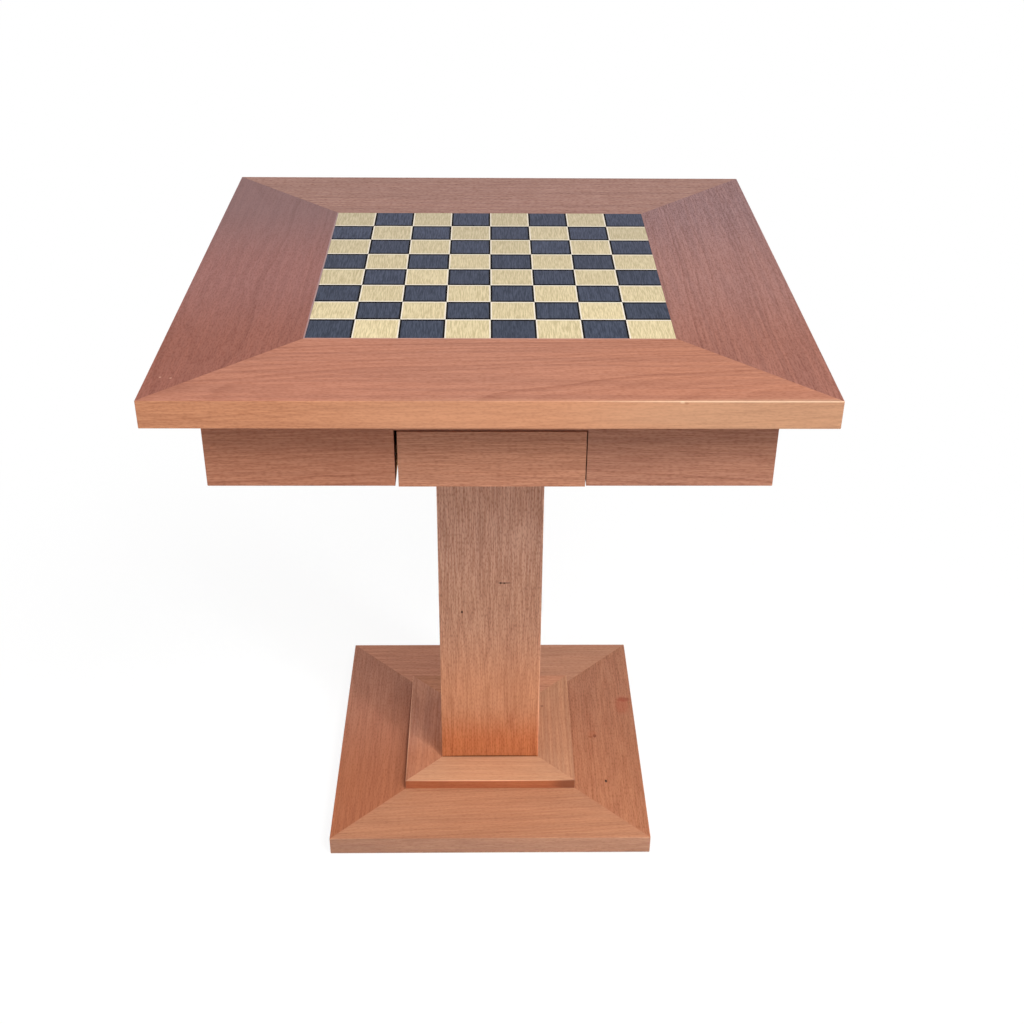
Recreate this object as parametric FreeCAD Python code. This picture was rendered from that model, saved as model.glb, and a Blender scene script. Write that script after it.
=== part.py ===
# Pedestal chess table: a mitred top with an inlaid board, an apron with one drawer for each player,
# a hollow square column and a stepped base, clamped together by one tie rod.
# Lengths are millimetres, +Z is up, the origin is on the floor under the column, the front is -Y.

import FreeCAD, Part
import math
import os
from collections import namedtuple
from FreeCAD import Placement, Rotation, Vector

# Overall sizes
TABLE_HEIGHT = 750.0
TOP_SIDE = 700.0
TOP_OVERHANG = 50.0  # beyond the apron on every side
COLUMN_SIDE = 136.0
BASE_SIDE = 430.0

# Clearances
GLUE_FIT = 0.1  # each side of a glued piece in its seat
BOLT_PLAY = 0.5  # between the tie rod and the bores it passes through

# Top: mitred frame boards round the inlaid board
TOP_THICKNESS = 31.0
SQUARE_SIDE = 50.0
SQUARES_PER_SIDE = 8
SQUARE_THICKNESS = 3.0
SQUARE_JOINT = 0.1  # glue line between neighbouring squares
BOARD_PANEL_THICKNESS = 15.0
LEDGE_WIDTH = 12.0  # rebate that carries the board panel
EDGE_ROUND = 1.0  # eased arrises of the top, apron and base

# Apron and the drawer opening in its front and rear
APRON_HEIGHT = 95.0
APRON_THICKNESS = 20.0
OPENING_WIDTH = 202.5
RAIL_HEIGHT = 28.0  # over the opening, and the bearers' thickness
CORNER_BLOCK_LEG = 70.0
BLOCK_SCREW_SHARES = (0.6, 0.2)  # of the leg, from the apron's inner faces to the block's screw

# Bearers that cross under the top, and the cheeks that hang from them beside the drawers
BEARER_WIDTH = 90.0
BEARER_FIT = 0.2  # between a bearer's end and the apron
CHEEK_THICKNESS = 16.0

# Runners on the cheeks
RUNNER_WIDTH = 8.5
RUNNER_HEIGHT = 9.0
RUNNER_SETBACK = 6.0  # behind the drawer front
RUNNER_SCREW_INSET = 30.0

# Drawer
DRAWER_GAP_WIDE = 3.4  # at the left of the front drawer
DRAWER_GAP_NARROW = 1.1  # at its right
DRAWER_GAP_TOP = 1.5
DRAWER_DROP = 0.8  # the front hangs this much below the apron
DRAWER_FRONT_THICKNESS = 18.0
DRAWER_EDGE_ROUND = 0.6
DRAWER_SIDE_THICKNESS = 15.0
DRAWER_SIDE_FOOT = 6.0  # front's lower edge to side's lower edge
DRAWER_SIDE_HEAD = 8.0  # side's upper edge to front's upper edge
DRAWER_REAR_GAP = 16.0  # between the drawer and the column
DRAWER_BACK_THICKNESS = 12.0
DRAWER_BACK_INSET = 10.0
DRAWER_BACK_HEAD = 4.0  # back's upper edge below the sides' upper edge
DRAWER_BOTTOM_THICKNESS = 5.0
DRAWER_BOTTOM_RISE = 5.0  # side's lower edge to the bottom panel
DRAWER_GROOVE_DEPTH = 5.0  # for the bottom panel
DRAWER_SIDE_WEB = 3.0  # wood between the back's dado and the runner's groove
RUNNER_REST = 0.3  # the groove's ceiling above the runner
RUNNER_PLAY = 0.7  # the groove's floor below the runner
RUNNER_SIDE_PLAY = 0.6  # the groove's depth beyond the runner
RUNNER_STOP_GAP = 0.3  # groove's blind end to the runner's front end
TAIL_COUNT = 2
PIN_TIP = 8.0  # between neighbouring tails at their wide ends
TAIL_SLOPE = 1.0 / 6.0
TAIL_LAP = 5.0  # wood left in front of the dovetails

# Column
STAVE_THICKNESS = 18.0
COLUMN_EDGE_ROUND = 1.5
HEAD_BLOCK_HEIGHT = 60.0
FOOT_BLOCK_HEIGHT = 80.0

# Base: a core under the column, mitred boards round it, a mitred collar and felt pads
BASE_THICKNESS = 27.0
CORE_MARGIN = 32.0  # core beyond the column on every side
COLLAR_WIDTH = 50.0
COLLAR_THICKNESS = 14.0
PAD_DIAMETER = 40.0
PAD_THICKNESS = 2.0
PAD_INSET = 30.0  # pad's centre from the base's edges

# Loose tongues in the mitres and round the base core
TONGUE_THICKNESS = 6.0
TONGUE_WIDTH = 24.0
TOP_TONGUE_LENGTH = 90.0
BASE_TONGUE_LENGTH = 70.0
CORE_TONGUE_STOP = 20.0  # from each corner of the core

# Dowels
DOWEL_DIAMETER = 6.0
DOWEL_LENGTH = 30.0
RAIL_DOWEL_SPACING = 14.0
CHEEK_DOWEL_SPACING = 36.0
CHEEK_DOWEL_DEPTH = 10.0  # into the apron board
BLOCK_DOWEL_SPACING = 60.0
BLOCK_DOWEL_DEPTH = 12.0  # into the bearer or the base core

# Tie rod with a nut and washer at each end
ROD_DIAMETER = 10.0
ROD_END = 1.5  # rod beyond its nuts
NUT_FLATS = 17.0
NUT_HEIGHT = 8.0
WASHER_DIAMETER = 30.0
WASHER_THICKNESS = 2.5
COUNTERBORE_DIAMETER = 32.0
HEAD_COUNTERBORE_DEPTH = 8.0
FOOT_RECESS = 2.0  # the rod's lower end above the base's underside

# Screws
Screw = namedtuple("Screw", "diameter head_diameter length")
FRAME_SCREW = Screw(diameter=5.0, head_diameter=9.6, length=45.0)
RUNNER_SCREW = Screw(diameter=3.5, head_diameter=6.8, length=20.0)
BOTTOM_SCREW = Screw(diameter=3.0, head_diameter=5.8, length=16.0)

# Levels and half widths that follow from the sizes above
UP = Vector(0, 0, 1)
DOWN = Vector(0, 0, -1)
TURNS = {"front": 0, "right": 90, "rear": 180, "left": 270}

BOARD_SIDE = SQUARE_SIDE * SQUARES_PER_SIDE
TOP_UNDERSIDE = TABLE_HEIGHT - TOP_THICKNESS
SQUARES_UNDERSIDE = TABLE_HEIGHT - SQUARE_THICKNESS
LEDGE_LEVEL = SQUARES_UNDERSIDE - BOARD_PANEL_THICKNESS
LEDGE_OPENING = BOARD_SIDE - 2 * LEDGE_WIDTH

APRON_SIDE = TOP_SIDE - 2 * TOP_OVERHANG
APRON_BOTTOM = TOP_UNDERSIDE - APRON_HEIGHT
OPENING_TOP = TOP_UNDERSIDE - RAIL_HEIGHT
APRON_INNER = APRON_SIDE - 2 * APRON_THICKNESS
BEARER_MIDDLE = (OPENING_TOP + TOP_UNDERSIDE) / 2
BEARER_LENGTH = APRON_INNER - 2 * BEARER_FIT

CORE_SIDE = COLUMN_SIDE + 2 * CORE_MARGIN
COLLAR_SIDE = COLUMN_SIDE + 2 * COLLAR_WIDTH
BLOCK_SIDE = COLUMN_SIDE - 2 * STAVE_THICKNESS - 2 * GLUE_FIT
BASE_TOP = PAD_THICKNESS + BASE_THICKNESS
FOOT_COUNTERBORE_DEPTH = FOOT_RECESS + ROD_END + NUT_HEIGHT + WASHER_THICKNESS
FOOT_SEAT = PAD_THICKNESS + FOOT_COUNTERBORE_DEPTH
HEAD_SEAT = TOP_UNDERSIDE - HEAD_COUNTERBORE_DEPTH

DRAWER_LEFT = DRAWER_GAP_WIDE - OPENING_WIDTH / 2
DRAWER_RIGHT = OPENING_WIDTH / 2 - DRAWER_GAP_NARROW
DRAWER_FACE = -APRON_SIDE / 2
DRAWER_FRONT_INNER = DRAWER_FACE + DRAWER_FRONT_THICKNESS
DRAWER_REAR = -COLUMN_SIDE / 2 - DRAWER_REAR_GAP
DRAWER_FRONT_SPAN = (APRON_BOTTOM - DRAWER_DROP, OPENING_TOP - DRAWER_GAP_TOP)
DRAWER_SIDE_SPAN = (DRAWER_FRONT_SPAN[0] + DRAWER_SIDE_FOOT, DRAWER_FRONT_SPAN[1] - DRAWER_SIDE_HEAD)
DRAWER_BOTTOM_LEVEL = DRAWER_SIDE_SPAN[0] + DRAWER_BOTTOM_RISE
DRAWER_FLOOR = DRAWER_BOTTOM_LEVEL + DRAWER_BOTTOM_THICKNESS
DRAWER_BACK_REAR = DRAWER_REAR - DRAWER_BACK_INSET
DRAWER_BACK_SPAN = (DRAWER_BACK_REAR - DRAWER_BACK_THICKNESS, DRAWER_BACK_REAR)
RUNNER_FRONT = DRAWER_FRONT_INNER + RUNNER_SETBACK
RUNNER_LEVEL = (sum(DRAWER_SIDE_SPAN) - RUNNER_HEIGHT) / 2
RUNNER_TOP = RUNNER_LEVEL + RUNNER_HEIGHT
RUNNER_GROOVE_DEPTH = RUNNER_WIDTH - DRAWER_GAP_NARROW + RUNNER_SIDE_PLAY
DADO_DEPTH = DRAWER_SIDE_THICKNESS - RUNNER_GROOVE_DEPTH - DRAWER_SIDE_WEB


# Shapes that the pieces are made from


def box(x_span, y_span, z_span):
    """Block between two coordinates on each axis, given in either order."""
    spans = [sorted(span) for span in (x_span, y_span, z_span)]
    sizes = [high - low for low, high in spans]
    return Part.makeBox(*sizes, Vector(*[low for low, _ in spans]))


def square_block(side, low, high):
    """Square block about the column's axis."""
    half = side / 2
    return box((-half, half), (-half, half), (low, high))


def eased_block(side, low, high, radius, rims):
    """Square block whose upright edges, and edges at the heights in rims, are rounded."""
    block = square_block(side, low, high)

    def is_eased(edge):
        heights = [vertex.Z for vertex in edge.Vertexes]
        upright = abs(heights[0] - heights[1]) > radius
        return upright or any(math.isclose(heights[0], rim) for rim in rims)

    return block.makeFillet(radius, [edge for edge in block.Edges if is_eased(edge)])


def turned(shape, degrees):
    """Copy of a shape turned about the column's axis."""
    return shape.rotated(Vector(0, 0, 0), UP, degrees)


def aimed(shape, point, direction):
    """Copy of a shape drawn along +Z from the origin, moved to a point and aimed along a direction."""
    placed = shape.copy()
    placed.Placement = Placement(Vector(*point), Rotation(UP, direction))
    return placed


def prism(outline, low, high):
    """Upright prism over a closed outline of (x, y) corners."""
    corners = [Vector(x, y, low) for x, y in outline]
    face = Part.Face(Part.makePolygon(corners + corners[:1]))
    return face.extrude(Vector(0, 0, high - low))


def mitred(ring):
    """Cuts a square ring along its diagonals into four boards, one for each side of the table."""
    bounds = ring.BoundBox
    reach = 2 * bounds.XMax
    wedge = prism([(0, 0), (-reach, -reach), (reach, -reach)], bounds.ZMin - reach, bounds.ZMax + reach)
    return {side: ring.common(turned(wedge, turn)) for side, turn in TURNS.items()}


def bored(piece, cutters):
    """Piece with every hole and slot cut that reaches it."""
    near = [cutter for cutter in cutters if cutter.BoundBox.intersect(piece.BoundBox)]
    return piece.cut(near) if near else piece


# Joinery: each function returns the loose pieces and the holes or slots that they need


def tongue_joints(places, length, level):
    """Loose tongues lying along X, turned and moved to each place (x, y, degrees), with their slots."""

    def slip(extra):
        half = TONGUE_THICKNESS / 2 + extra
        blank = box(
            (-length / 2 - extra, length / 2 + extra),
            (-TONGUE_WIDTH / 2 - extra, TONGUE_WIDTH / 2 + extra),
            (level - half, level + half),
        )
        return [turned(blank, degrees).translated(Vector(x, y, 0)) for x, y, degrees in places]

    return slip(0), slip(GLUE_FIT)


def mitre_tongues(inner_side, outer_side, length, level):
    """Tongues in the middle of the four mitres of a ring of boards."""
    middle = (inner_side + outer_side) / 4
    places = [(middle, middle, 45), (-middle, middle, 135), (-middle, -middle, 225), (middle, -middle, 315)]
    return tongue_joints(places, length, level)


def core_tongues(level):
    """Tongues between the base core and the four boards round it."""
    half = CORE_SIDE / 2
    places = [(0, -half, 0), (half, 0, 90), (0, half, 180), (-half, 0, 270)]
    return tongue_joints(places, CORE_SIDE - 2 * CORE_TONGUE_STOP, level)


def dowels(starts):
    """Dowels from a list of (starting point, direction), with their holes."""

    def pins(extra):
        pin = Part.makeCylinder(DOWEL_DIAMETER / 2 + extra, DOWEL_LENGTH + 2 * extra, Vector(0, 0, -extra))
        return [aimed(pin, point, direction) for point, direction in starts]

    return pins(0), pins(GLUE_FIT)


def screws(kind, starts):
    """Countersunk screws from a list of (head centre, direction), with their holes."""

    def profile(extra):
        shank = kind.diameter / 2 + extra
        head = kind.head_diameter / 2 + extra
        cone = head - shank
        points = [(0, 0), (head, 0), (shank, cone), (shank, kind.length - shank), (0, kind.length + extra)]
        corners = [Vector(radius, 0, depth) for radius, depth in points]
        return Part.Face(Part.makePolygon(corners + corners[:1])).revolve(Vector(0, 0, 0), UP, 360)

    slot_width = kind.diameter / 4
    slot_length = kind.head_diameter / 2
    slot_depth = kind.diameter / 3
    slot = box((-slot_length / 2, slot_length / 2), (-slot_width / 2, slot_width / 2), (0, slot_depth))
    screw = profile(0).cut([slot, turned(slot, 90)])
    hole = profile(GLUE_FIT)
    return [aimed(screw, *start) for start in starts], [aimed(hole, *start) for start in starts]


def tie_rod():
    """Rod, nuts and washers on the column's axis, with the bore and counterbores that they need."""
    rod_radius = ROD_DIAMETER / 2
    nut_seats = (FOOT_SEAT - WASHER_THICKNESS - NUT_HEIGHT, HEAD_SEAT + WASHER_THICKNESS)
    washer_seats = (FOOT_SEAT - WASHER_THICKNESS, HEAD_SEAT)
    low = nut_seats[0] - ROD_END
    high = nut_seats[1] + NUT_HEIGHT + ROD_END
    rod = Part.makeCylinder(rod_radius, high - low, Vector(0, 0, low))
    hole = Part.makeCylinder(rod_radius + GLUE_FIT, high - low, Vector(0, 0, low))

    corner = NUT_FLATS / math.sqrt(3)
    hexagon = [(corner * math.cos(i * math.pi / 3), corner * math.sin(i * math.pi / 3)) for i in range(6)]
    nuts = [prism(hexagon, seat, seat + NUT_HEIGHT).cut(hole) for seat in nut_seats]
    disc = Part.makeCylinder(WASHER_DIAMETER / 2, WASHER_THICKNESS)
    washers = [disc.translated(Vector(0, 0, seat)).cut(hole) for seat in washer_seats]

    bore = Part.makeCylinder(rod_radius + BOLT_PLAY, high - low, Vector(0, 0, low))
    counterbore_radius = COUNTERBORE_DIAMETER / 2
    foot_well = Part.makeCylinder(counterbore_radius, FOOT_COUNTERBORE_DEPTH, Vector(0, 0, PAD_THICKNESS))
    head_well = Part.makeCylinder(counterbore_radius, HEAD_COUNTERBORE_DEPTH, Vector(0, 0, HEAD_SEAT))
    return rod, nuts, washers, [bore, foot_well, head_well]


# Where the fasteners go


def frame_screw_starts():
    """Screws up through the bearers and corner blocks into the top, and down into the cheeks."""
    across = BEARER_WIDTH / 4
    along = (LEDGE_OPENING + APRON_INNER) / 4
    into_top = [(Vector(side * across, -along, OPENING_TOP), UP) for side in (-1, 1)]
    corner = APRON_INNER / 2
    block_x, block_y = [corner - share * CORNER_BLOCK_LEG for share in BLOCK_SCREW_SHARES]
    into_top.append((Vector(block_x, -block_y, OPENING_TOP), UP))
    starts = []
    for turn in TURNS.values():
        spin = Rotation(UP, turn)
        starts += [(spin.multVec(point), direction) for point, direction in into_top]
    cheek_middle = (OPENING_WIDTH + CHEEK_THICKNESS) / 2
    for x in (-cheek_middle, cheek_middle):
        for y in (-across, across):
            starts.append((Vector(x, y, TOP_UNDERSIDE), DOWN))
    return starts


def dowel_starts():
    """Dowels at the ends of the rails and cheeks, and between the column's blocks and what they meet."""
    half_opening = OPENING_WIDTH / 2
    front_middle = -(APRON_SIDE - APRON_THICKNESS) / 2
    front = []
    for side in (-1, 1):
        outward = Vector(side, 0, 0)
        rail_start = side * (half_opening - DOWEL_LENGTH / 2)
        cheek_middle = side * (half_opening + CHEEK_THICKNESS / 2)
        for share in (-0.5, 0.5):
            rail_level = BEARER_MIDDLE + share * RAIL_DOWEL_SPACING
            front.append((Vector(rail_start, front_middle, rail_level), outward))
            cheek_level = (APRON_BOTTOM + OPENING_TOP) / 2 + share * CHEEK_DOWEL_SPACING
            cheek_start = CHEEK_DOWEL_DEPTH + APRON_INNER / 2 - DOWEL_LENGTH
            front.append((Vector(cheek_middle, -cheek_start, cheek_level), Vector(0, -1, 0)))
    half_turn = Rotation(UP, TURNS["rear"])
    rear = [(half_turn.multVec(point), half_turn.multVec(direction)) for point, direction in front]
    blocks = []
    for x in (-BLOCK_DOWEL_SPACING / 2, BLOCK_DOWEL_SPACING / 2):
        blocks.append((Vector(x, 0, BASE_TOP - BLOCK_DOWEL_DEPTH), UP))
        blocks.append((Vector(x, 0, OPENING_TOP + BLOCK_DOWEL_DEPTH), DOWN))
    return front + rear + blocks


# Sub-assemblies: each returns named nodes, a list of solids for each


def top_pieces():
    """Four mitred boards with a ledge for the board panel, the panel, and the squares laid on it."""
    outer = eased_block(TOP_SIDE, TOP_UNDERSIDE, TABLE_HEIGHT, EDGE_ROUND, (TOP_UNDERSIDE, TABLE_HEIGHT))
    recess = square_block(BOARD_SIDE + 2 * GLUE_FIT, LEDGE_LEVEL, TABLE_HEIGHT)
    opening = square_block(LEDGE_OPENING, TOP_UNDERSIDE, LEDGE_LEVEL)
    boards = mitred(outer.cut([recess, opening]))
    nodes = {f"top_board_{side}": [board] for side, board in boards.items()}
    nodes["board_panel"] = [square_block(BOARD_SIDE, LEDGE_LEVEL, SQUARES_UNDERSIDE)]
    nodes["dark_squares"] = chess_squares(0)
    nodes["light_squares"] = chess_squares(1)
    return nodes


def chess_squares(parity):
    """Squares of one colour. The near left square, where parity is 0, is dark."""
    inset = SQUARE_JOINT / 2
    places = [i * SQUARE_SIDE - BOARD_SIDE / 2 for i in range(SQUARES_PER_SIDE)]
    return [
        box((x + inset, x + SQUARE_SIDE - inset), (y + inset, y + SQUARE_SIDE - inset),
            (SQUARES_UNDERSIDE, TABLE_HEIGHT))
        for column, x in enumerate(places)
        for row, y in enumerate(places)
        if (column + row) % 2 == parity
    ]


def apron_pieces():
    """Mitred apron boards. The front and rear ones are two panels and a rail over the drawer."""
    outer = eased_block(APRON_SIDE, APRON_BOTTOM, TOP_UNDERSIDE, EDGE_ROUND, (APRON_BOTTOM,))
    boards = mitred(outer.cut(square_block(APRON_INNER, APRON_BOTTOM, TOP_UNDERSIDE)))
    half = OPENING_WIDTH / 2
    depth = (-APRON_SIDE, APRON_SIDE)
    height = (APRON_BOTTOM, TOP_UNDERSIDE)
    zones = {
        "left": box((-APRON_SIDE, -half), depth, height),
        "right": box((half, APRON_SIDE), depth, height),
        "rail": box((-half, half), depth, (OPENING_TOP, TOP_UNDERSIDE)),
    }
    nodes = {f"apron_{side}": [boards[side]] for side in ("left", "right")}
    for side in ("front", "rear"):
        for part, zone in zones.items():
            nodes[f"apron_{side}_{part}"] = [boards[side].common(zone)]
    corner = APRON_INNER / 2
    near = corner - CORNER_BLOCK_LEG
    block = prism([(corner, -corner), (corner, -near), (near, -corner)], OPENING_TOP, TOP_UNDERSIDE)
    nodes["corner_blocks"] = [turned(block, turn) for turn in TURNS.values()]
    return nodes


def subframe_pieces():
    """Two bearers halved across each other under the top, and the cheeks that hang from one of them."""
    half_length = BEARER_LENGTH / 2
    half_width = BEARER_WIDTH / 2
    height = (OPENING_TOP, TOP_UNDERSIDE)
    lap = half_width + GLUE_FIT
    across = box((-half_length, half_length), (-half_width, half_width), height)
    along = box((-half_width, half_width), (-half_length, half_length), height)
    lower_lap = box((-lap, lap), (-half_width, half_width), (OPENING_TOP, BEARER_MIDDLE))
    upper_lap = box((-half_width, half_width), (-lap, lap), (BEARER_MIDDLE, TOP_UNDERSIDE))
    half_opening = OPENING_WIDTH / 2
    cheek = box(
        (half_opening, half_opening + CHEEK_THICKNESS),
        (-APRON_INNER / 2, APRON_INNER / 2),
        (APRON_BOTTOM, OPENING_TOP),
    )
    return {
        "bearer_across": [across.cut(lower_lap)],
        "bearer_along": [along.cut(upper_lap)],
        "drawer_cheek_right": [cheek],
        "drawer_cheek_left": [turned(cheek, TURNS["rear"])],
    }


def runner_pieces():
    """Runners for the front drawer and, half a turn away, for the rear one."""
    half_opening = OPENING_WIDTH / 2
    pair = [
        box((side * half_opening, side * (half_opening - RUNNER_WIDTH)), (RUNNER_FRONT, DRAWER_REAR),
            (RUNNER_LEVEL, RUNNER_TOP))
        for side in (-1, 1)
    ]
    return {
        "front_drawer_runners": pair,
        "rear_drawer_runners": [turned(runner, TURNS["rear"]) for runner in pair],
    }


def runner_screw_starts():
    """Two screws through each runner into its cheek."""
    inner = OPENING_WIDTH / 2 - RUNNER_WIDTH
    level = (RUNNER_LEVEL + RUNNER_TOP) / 2
    ends = (RUNNER_FRONT + RUNNER_SCREW_INSET, DRAWER_REAR - RUNNER_SCREW_INSET)
    return [
        (Vector(side * inner, facing * y, level), Vector(side, 0, 0))
        for facing in (-1, 1)
        for side in (-1, 1)
        for y in ends
    ]


def dovetails(x_span, extra):
    """Tails on the front end of a drawer side, widening towards the drawer's face."""
    low, high = DRAWER_SIDE_SPAN
    pitch = (high - low) / TAIL_COUNT
    tip = DRAWER_FACE + TAIL_LAP - extra
    flare = (DRAWER_FRONT_INNER - DRAWER_FACE - TAIL_LAP) * TAIL_SLOPE
    root = (pitch - PIN_TIP) / 2 - flare + extra
    left, right = sorted(x_span)
    tails = []
    for i in range(TAIL_COUNT):
        middle = low + (i + 0.5) * pitch
        outline = [
            (DRAWER_FRONT_INNER, middle - root),
            (DRAWER_FRONT_INNER, middle + root),
            (tip, middle + root + flare),
            (tip, middle - root - flare),
        ]
        corners = [Vector(left, y, z) for y, z in outline]
        face = Part.Face(Part.makePolygon(corners + corners[:1]))
        tails.append(face.extrude(Vector(right - left, 0, 0)))
    return tails


def drawer_side(outer_x, inward):
    """Drawer side with dovetails, a stopped groove outside for its runner, and grooves inside for the
    bottom and the back. inward is +1 or -1, towards the drawer's middle along X."""
    inner_x = outer_x + inward * DRAWER_SIDE_THICKNESS
    length = (DRAWER_FRONT_INNER, DRAWER_REAR)
    board = box((outer_x, inner_x), length, DRAWER_SIDE_SPAN)
    board = board.fuse(dovetails((outer_x, inner_x), 0)).removeSplitter()
    runner_groove = box(
        (outer_x, outer_x + inward * RUNNER_GROOVE_DEPTH),
        (RUNNER_FRONT - RUNNER_STOP_GAP, DRAWER_REAR),
        (RUNNER_LEVEL - RUNNER_PLAY, RUNNER_TOP + RUNNER_REST),
    )
    bottom_groove = box(
        (inner_x, inner_x - inward * (DRAWER_GROOVE_DEPTH + GLUE_FIT)),
        length,
        (DRAWER_BOTTOM_LEVEL - GLUE_FIT, DRAWER_FLOOR + GLUE_FIT),
    )
    dado = box(
        (inner_x, inner_x - inward * (DADO_DEPTH + GLUE_FIT)),
        (DRAWER_BACK_SPAN[0] - GLUE_FIT, DRAWER_BACK_SPAN[1] + GLUE_FIT),
        (DRAWER_FLOOR, DRAWER_SIDE_SPAN[1]),
    )
    return board.cut([runner_groove, bottom_groove, dado])


def drawer_front():
    """Drawer front with eased edges, dovetail sockets at its ends and a groove for the bottom."""
    blank = box((DRAWER_LEFT, DRAWER_RIGHT), (DRAWER_FACE, DRAWER_FRONT_INNER), DRAWER_FRONT_SPAN)
    face_edges = [
        edge for edge in blank.Edges if all(math.isclose(v.Y, DRAWER_FACE) for v in edge.Vertexes)
    ]
    blank = blank.makeFillet(DRAWER_EDGE_ROUND, face_edges)
    inner_left = DRAWER_LEFT + DRAWER_SIDE_THICKNESS
    inner_right = DRAWER_RIGHT - DRAWER_SIDE_THICKNESS
    sockets = dovetails((DRAWER_LEFT, inner_left + GLUE_FIT), GLUE_FIT)
    sockets += dovetails((inner_right - GLUE_FIT, DRAWER_RIGHT), GLUE_FIT)
    groove = box(
        (inner_left, inner_right),
        (DRAWER_FRONT_INNER - DRAWER_GROOVE_DEPTH - GLUE_FIT, DRAWER_FRONT_INNER),
        (DRAWER_BOTTOM_LEVEL - GLUE_FIT, DRAWER_FLOOR + GLUE_FIT),
    )
    return blank.cut(sockets + [groove])


def drawer_pieces():
    """The front drawer's boards."""
    inner_left = DRAWER_LEFT + DRAWER_SIDE_THICKNESS
    inner_right = DRAWER_RIGHT - DRAWER_SIDE_THICKNESS
    thickness = (DRAWER_BOTTOM_LEVEL, DRAWER_FLOOR)
    panel = box(
        (inner_left - DRAWER_GROOVE_DEPTH, inner_right + DRAWER_GROOVE_DEPTH),
        (DRAWER_FRONT_INNER, DRAWER_BACK_SPAN[1]),
        thickness,
    )
    lip = box(
        (inner_left + GLUE_FIT, inner_right - GLUE_FIT),
        (DRAWER_FRONT_INNER - DRAWER_GROOVE_DEPTH, DRAWER_FRONT_INNER),
        thickness,
    )
    back = box(
        (inner_left - DADO_DEPTH, inner_right + DADO_DEPTH),
        DRAWER_BACK_SPAN,
        (DRAWER_FLOOR + GLUE_FIT, DRAWER_SIDE_SPAN[1] - DRAWER_BACK_HEAD),
    )
    return {
        "panel": [drawer_front()],
        "side_left": [drawer_side(DRAWER_LEFT, 1)],
        "side_right": [drawer_side(DRAWER_RIGHT, -1)],
        "back": [back],
        "bottom": [panel.fuse(lip).removeSplitter()],
    }


def bottom_screw_starts():
    """Two screws up through the front drawer's bottom into its back."""
    y = sum(DRAWER_BACK_SPAN) / 2
    width = DRAWER_RIGHT - DRAWER_LEFT
    middle = (DRAWER_LEFT + DRAWER_RIGHT) / 2
    return [(Vector(middle + side * width / 4, y, DRAWER_BOTTOM_LEVEL), UP) for side in (-1, 1)]


def column_pieces():
    """Four staves mitred at the corners, and the blocks glued in at their ends."""
    outer = eased_block(COLUMN_SIDE, BASE_TOP, OPENING_TOP, COLUMN_EDGE_ROUND, ())
    hollow = square_block(COLUMN_SIDE - 2 * STAVE_THICKNESS, BASE_TOP, OPENING_TOP)
    nodes = {f"column_{side}": [stave] for side, stave in mitred(outer.cut(hollow)).items()}
    nodes["column_foot_block"] = [square_block(BLOCK_SIDE, BASE_TOP, BASE_TOP + FOOT_BLOCK_HEIGHT)]
    nodes["column_head_block"] = [square_block(BLOCK_SIDE, OPENING_TOP - HEAD_BLOCK_HEIGHT, OPENING_TOP)]
    return nodes


def base_pieces():
    """Core with mitred boards round it, the collar round the column's foot, and the pads underneath."""
    outer = eased_block(BASE_SIDE, PAD_THICKNESS, BASE_TOP, EDGE_ROUND, (PAD_THICKNESS, BASE_TOP))
    boards = mitred(outer.cut(square_block(CORE_SIDE + 2 * GLUE_FIT, PAD_THICKNESS, BASE_TOP)))
    collar_top = BASE_TOP + COLLAR_THICKNESS
    collar = eased_block(COLLAR_SIDE, BASE_TOP, collar_top, EDGE_ROUND, (collar_top,))
    strips = mitred(collar.cut(square_block(COLUMN_SIDE + 2 * GLUE_FIT, BASE_TOP, collar_top)))
    nodes = {"base_core": [square_block(CORE_SIDE, PAD_THICKNESS, BASE_TOP)]}
    nodes.update({f"base_board_{side}": [board] for side, board in boards.items()})
    nodes.update({f"collar_{side}": [strip] for side, strip in strips.items()})
    corner = BASE_SIDE / 2 - PAD_INSET
    pad = Part.makeCylinder(PAD_DIAMETER / 2, PAD_THICKNESS, Vector(corner, -corner, 0))
    nodes["felt_pads"] = [turned(pad, turn) for turn in TURNS.values()]
    return nodes


def save(node, pieces):
    """Writes one node, and stops if a cut has spoiled or split one of its pieces."""
    for piece in pieces:
        if not piece.isValid() or len(piece.Solids) != 1:
            raise ValueError(f"{node} holds a piece that isn't one sound solid")
    solids = [piece.Solids[0] for piece in pieces]
    shape = Part.makeCompound(solids) if len(solids) > 1 else solids[0]
    shape.exportStep(os.path.join("parts", f"{node}.step"))


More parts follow.
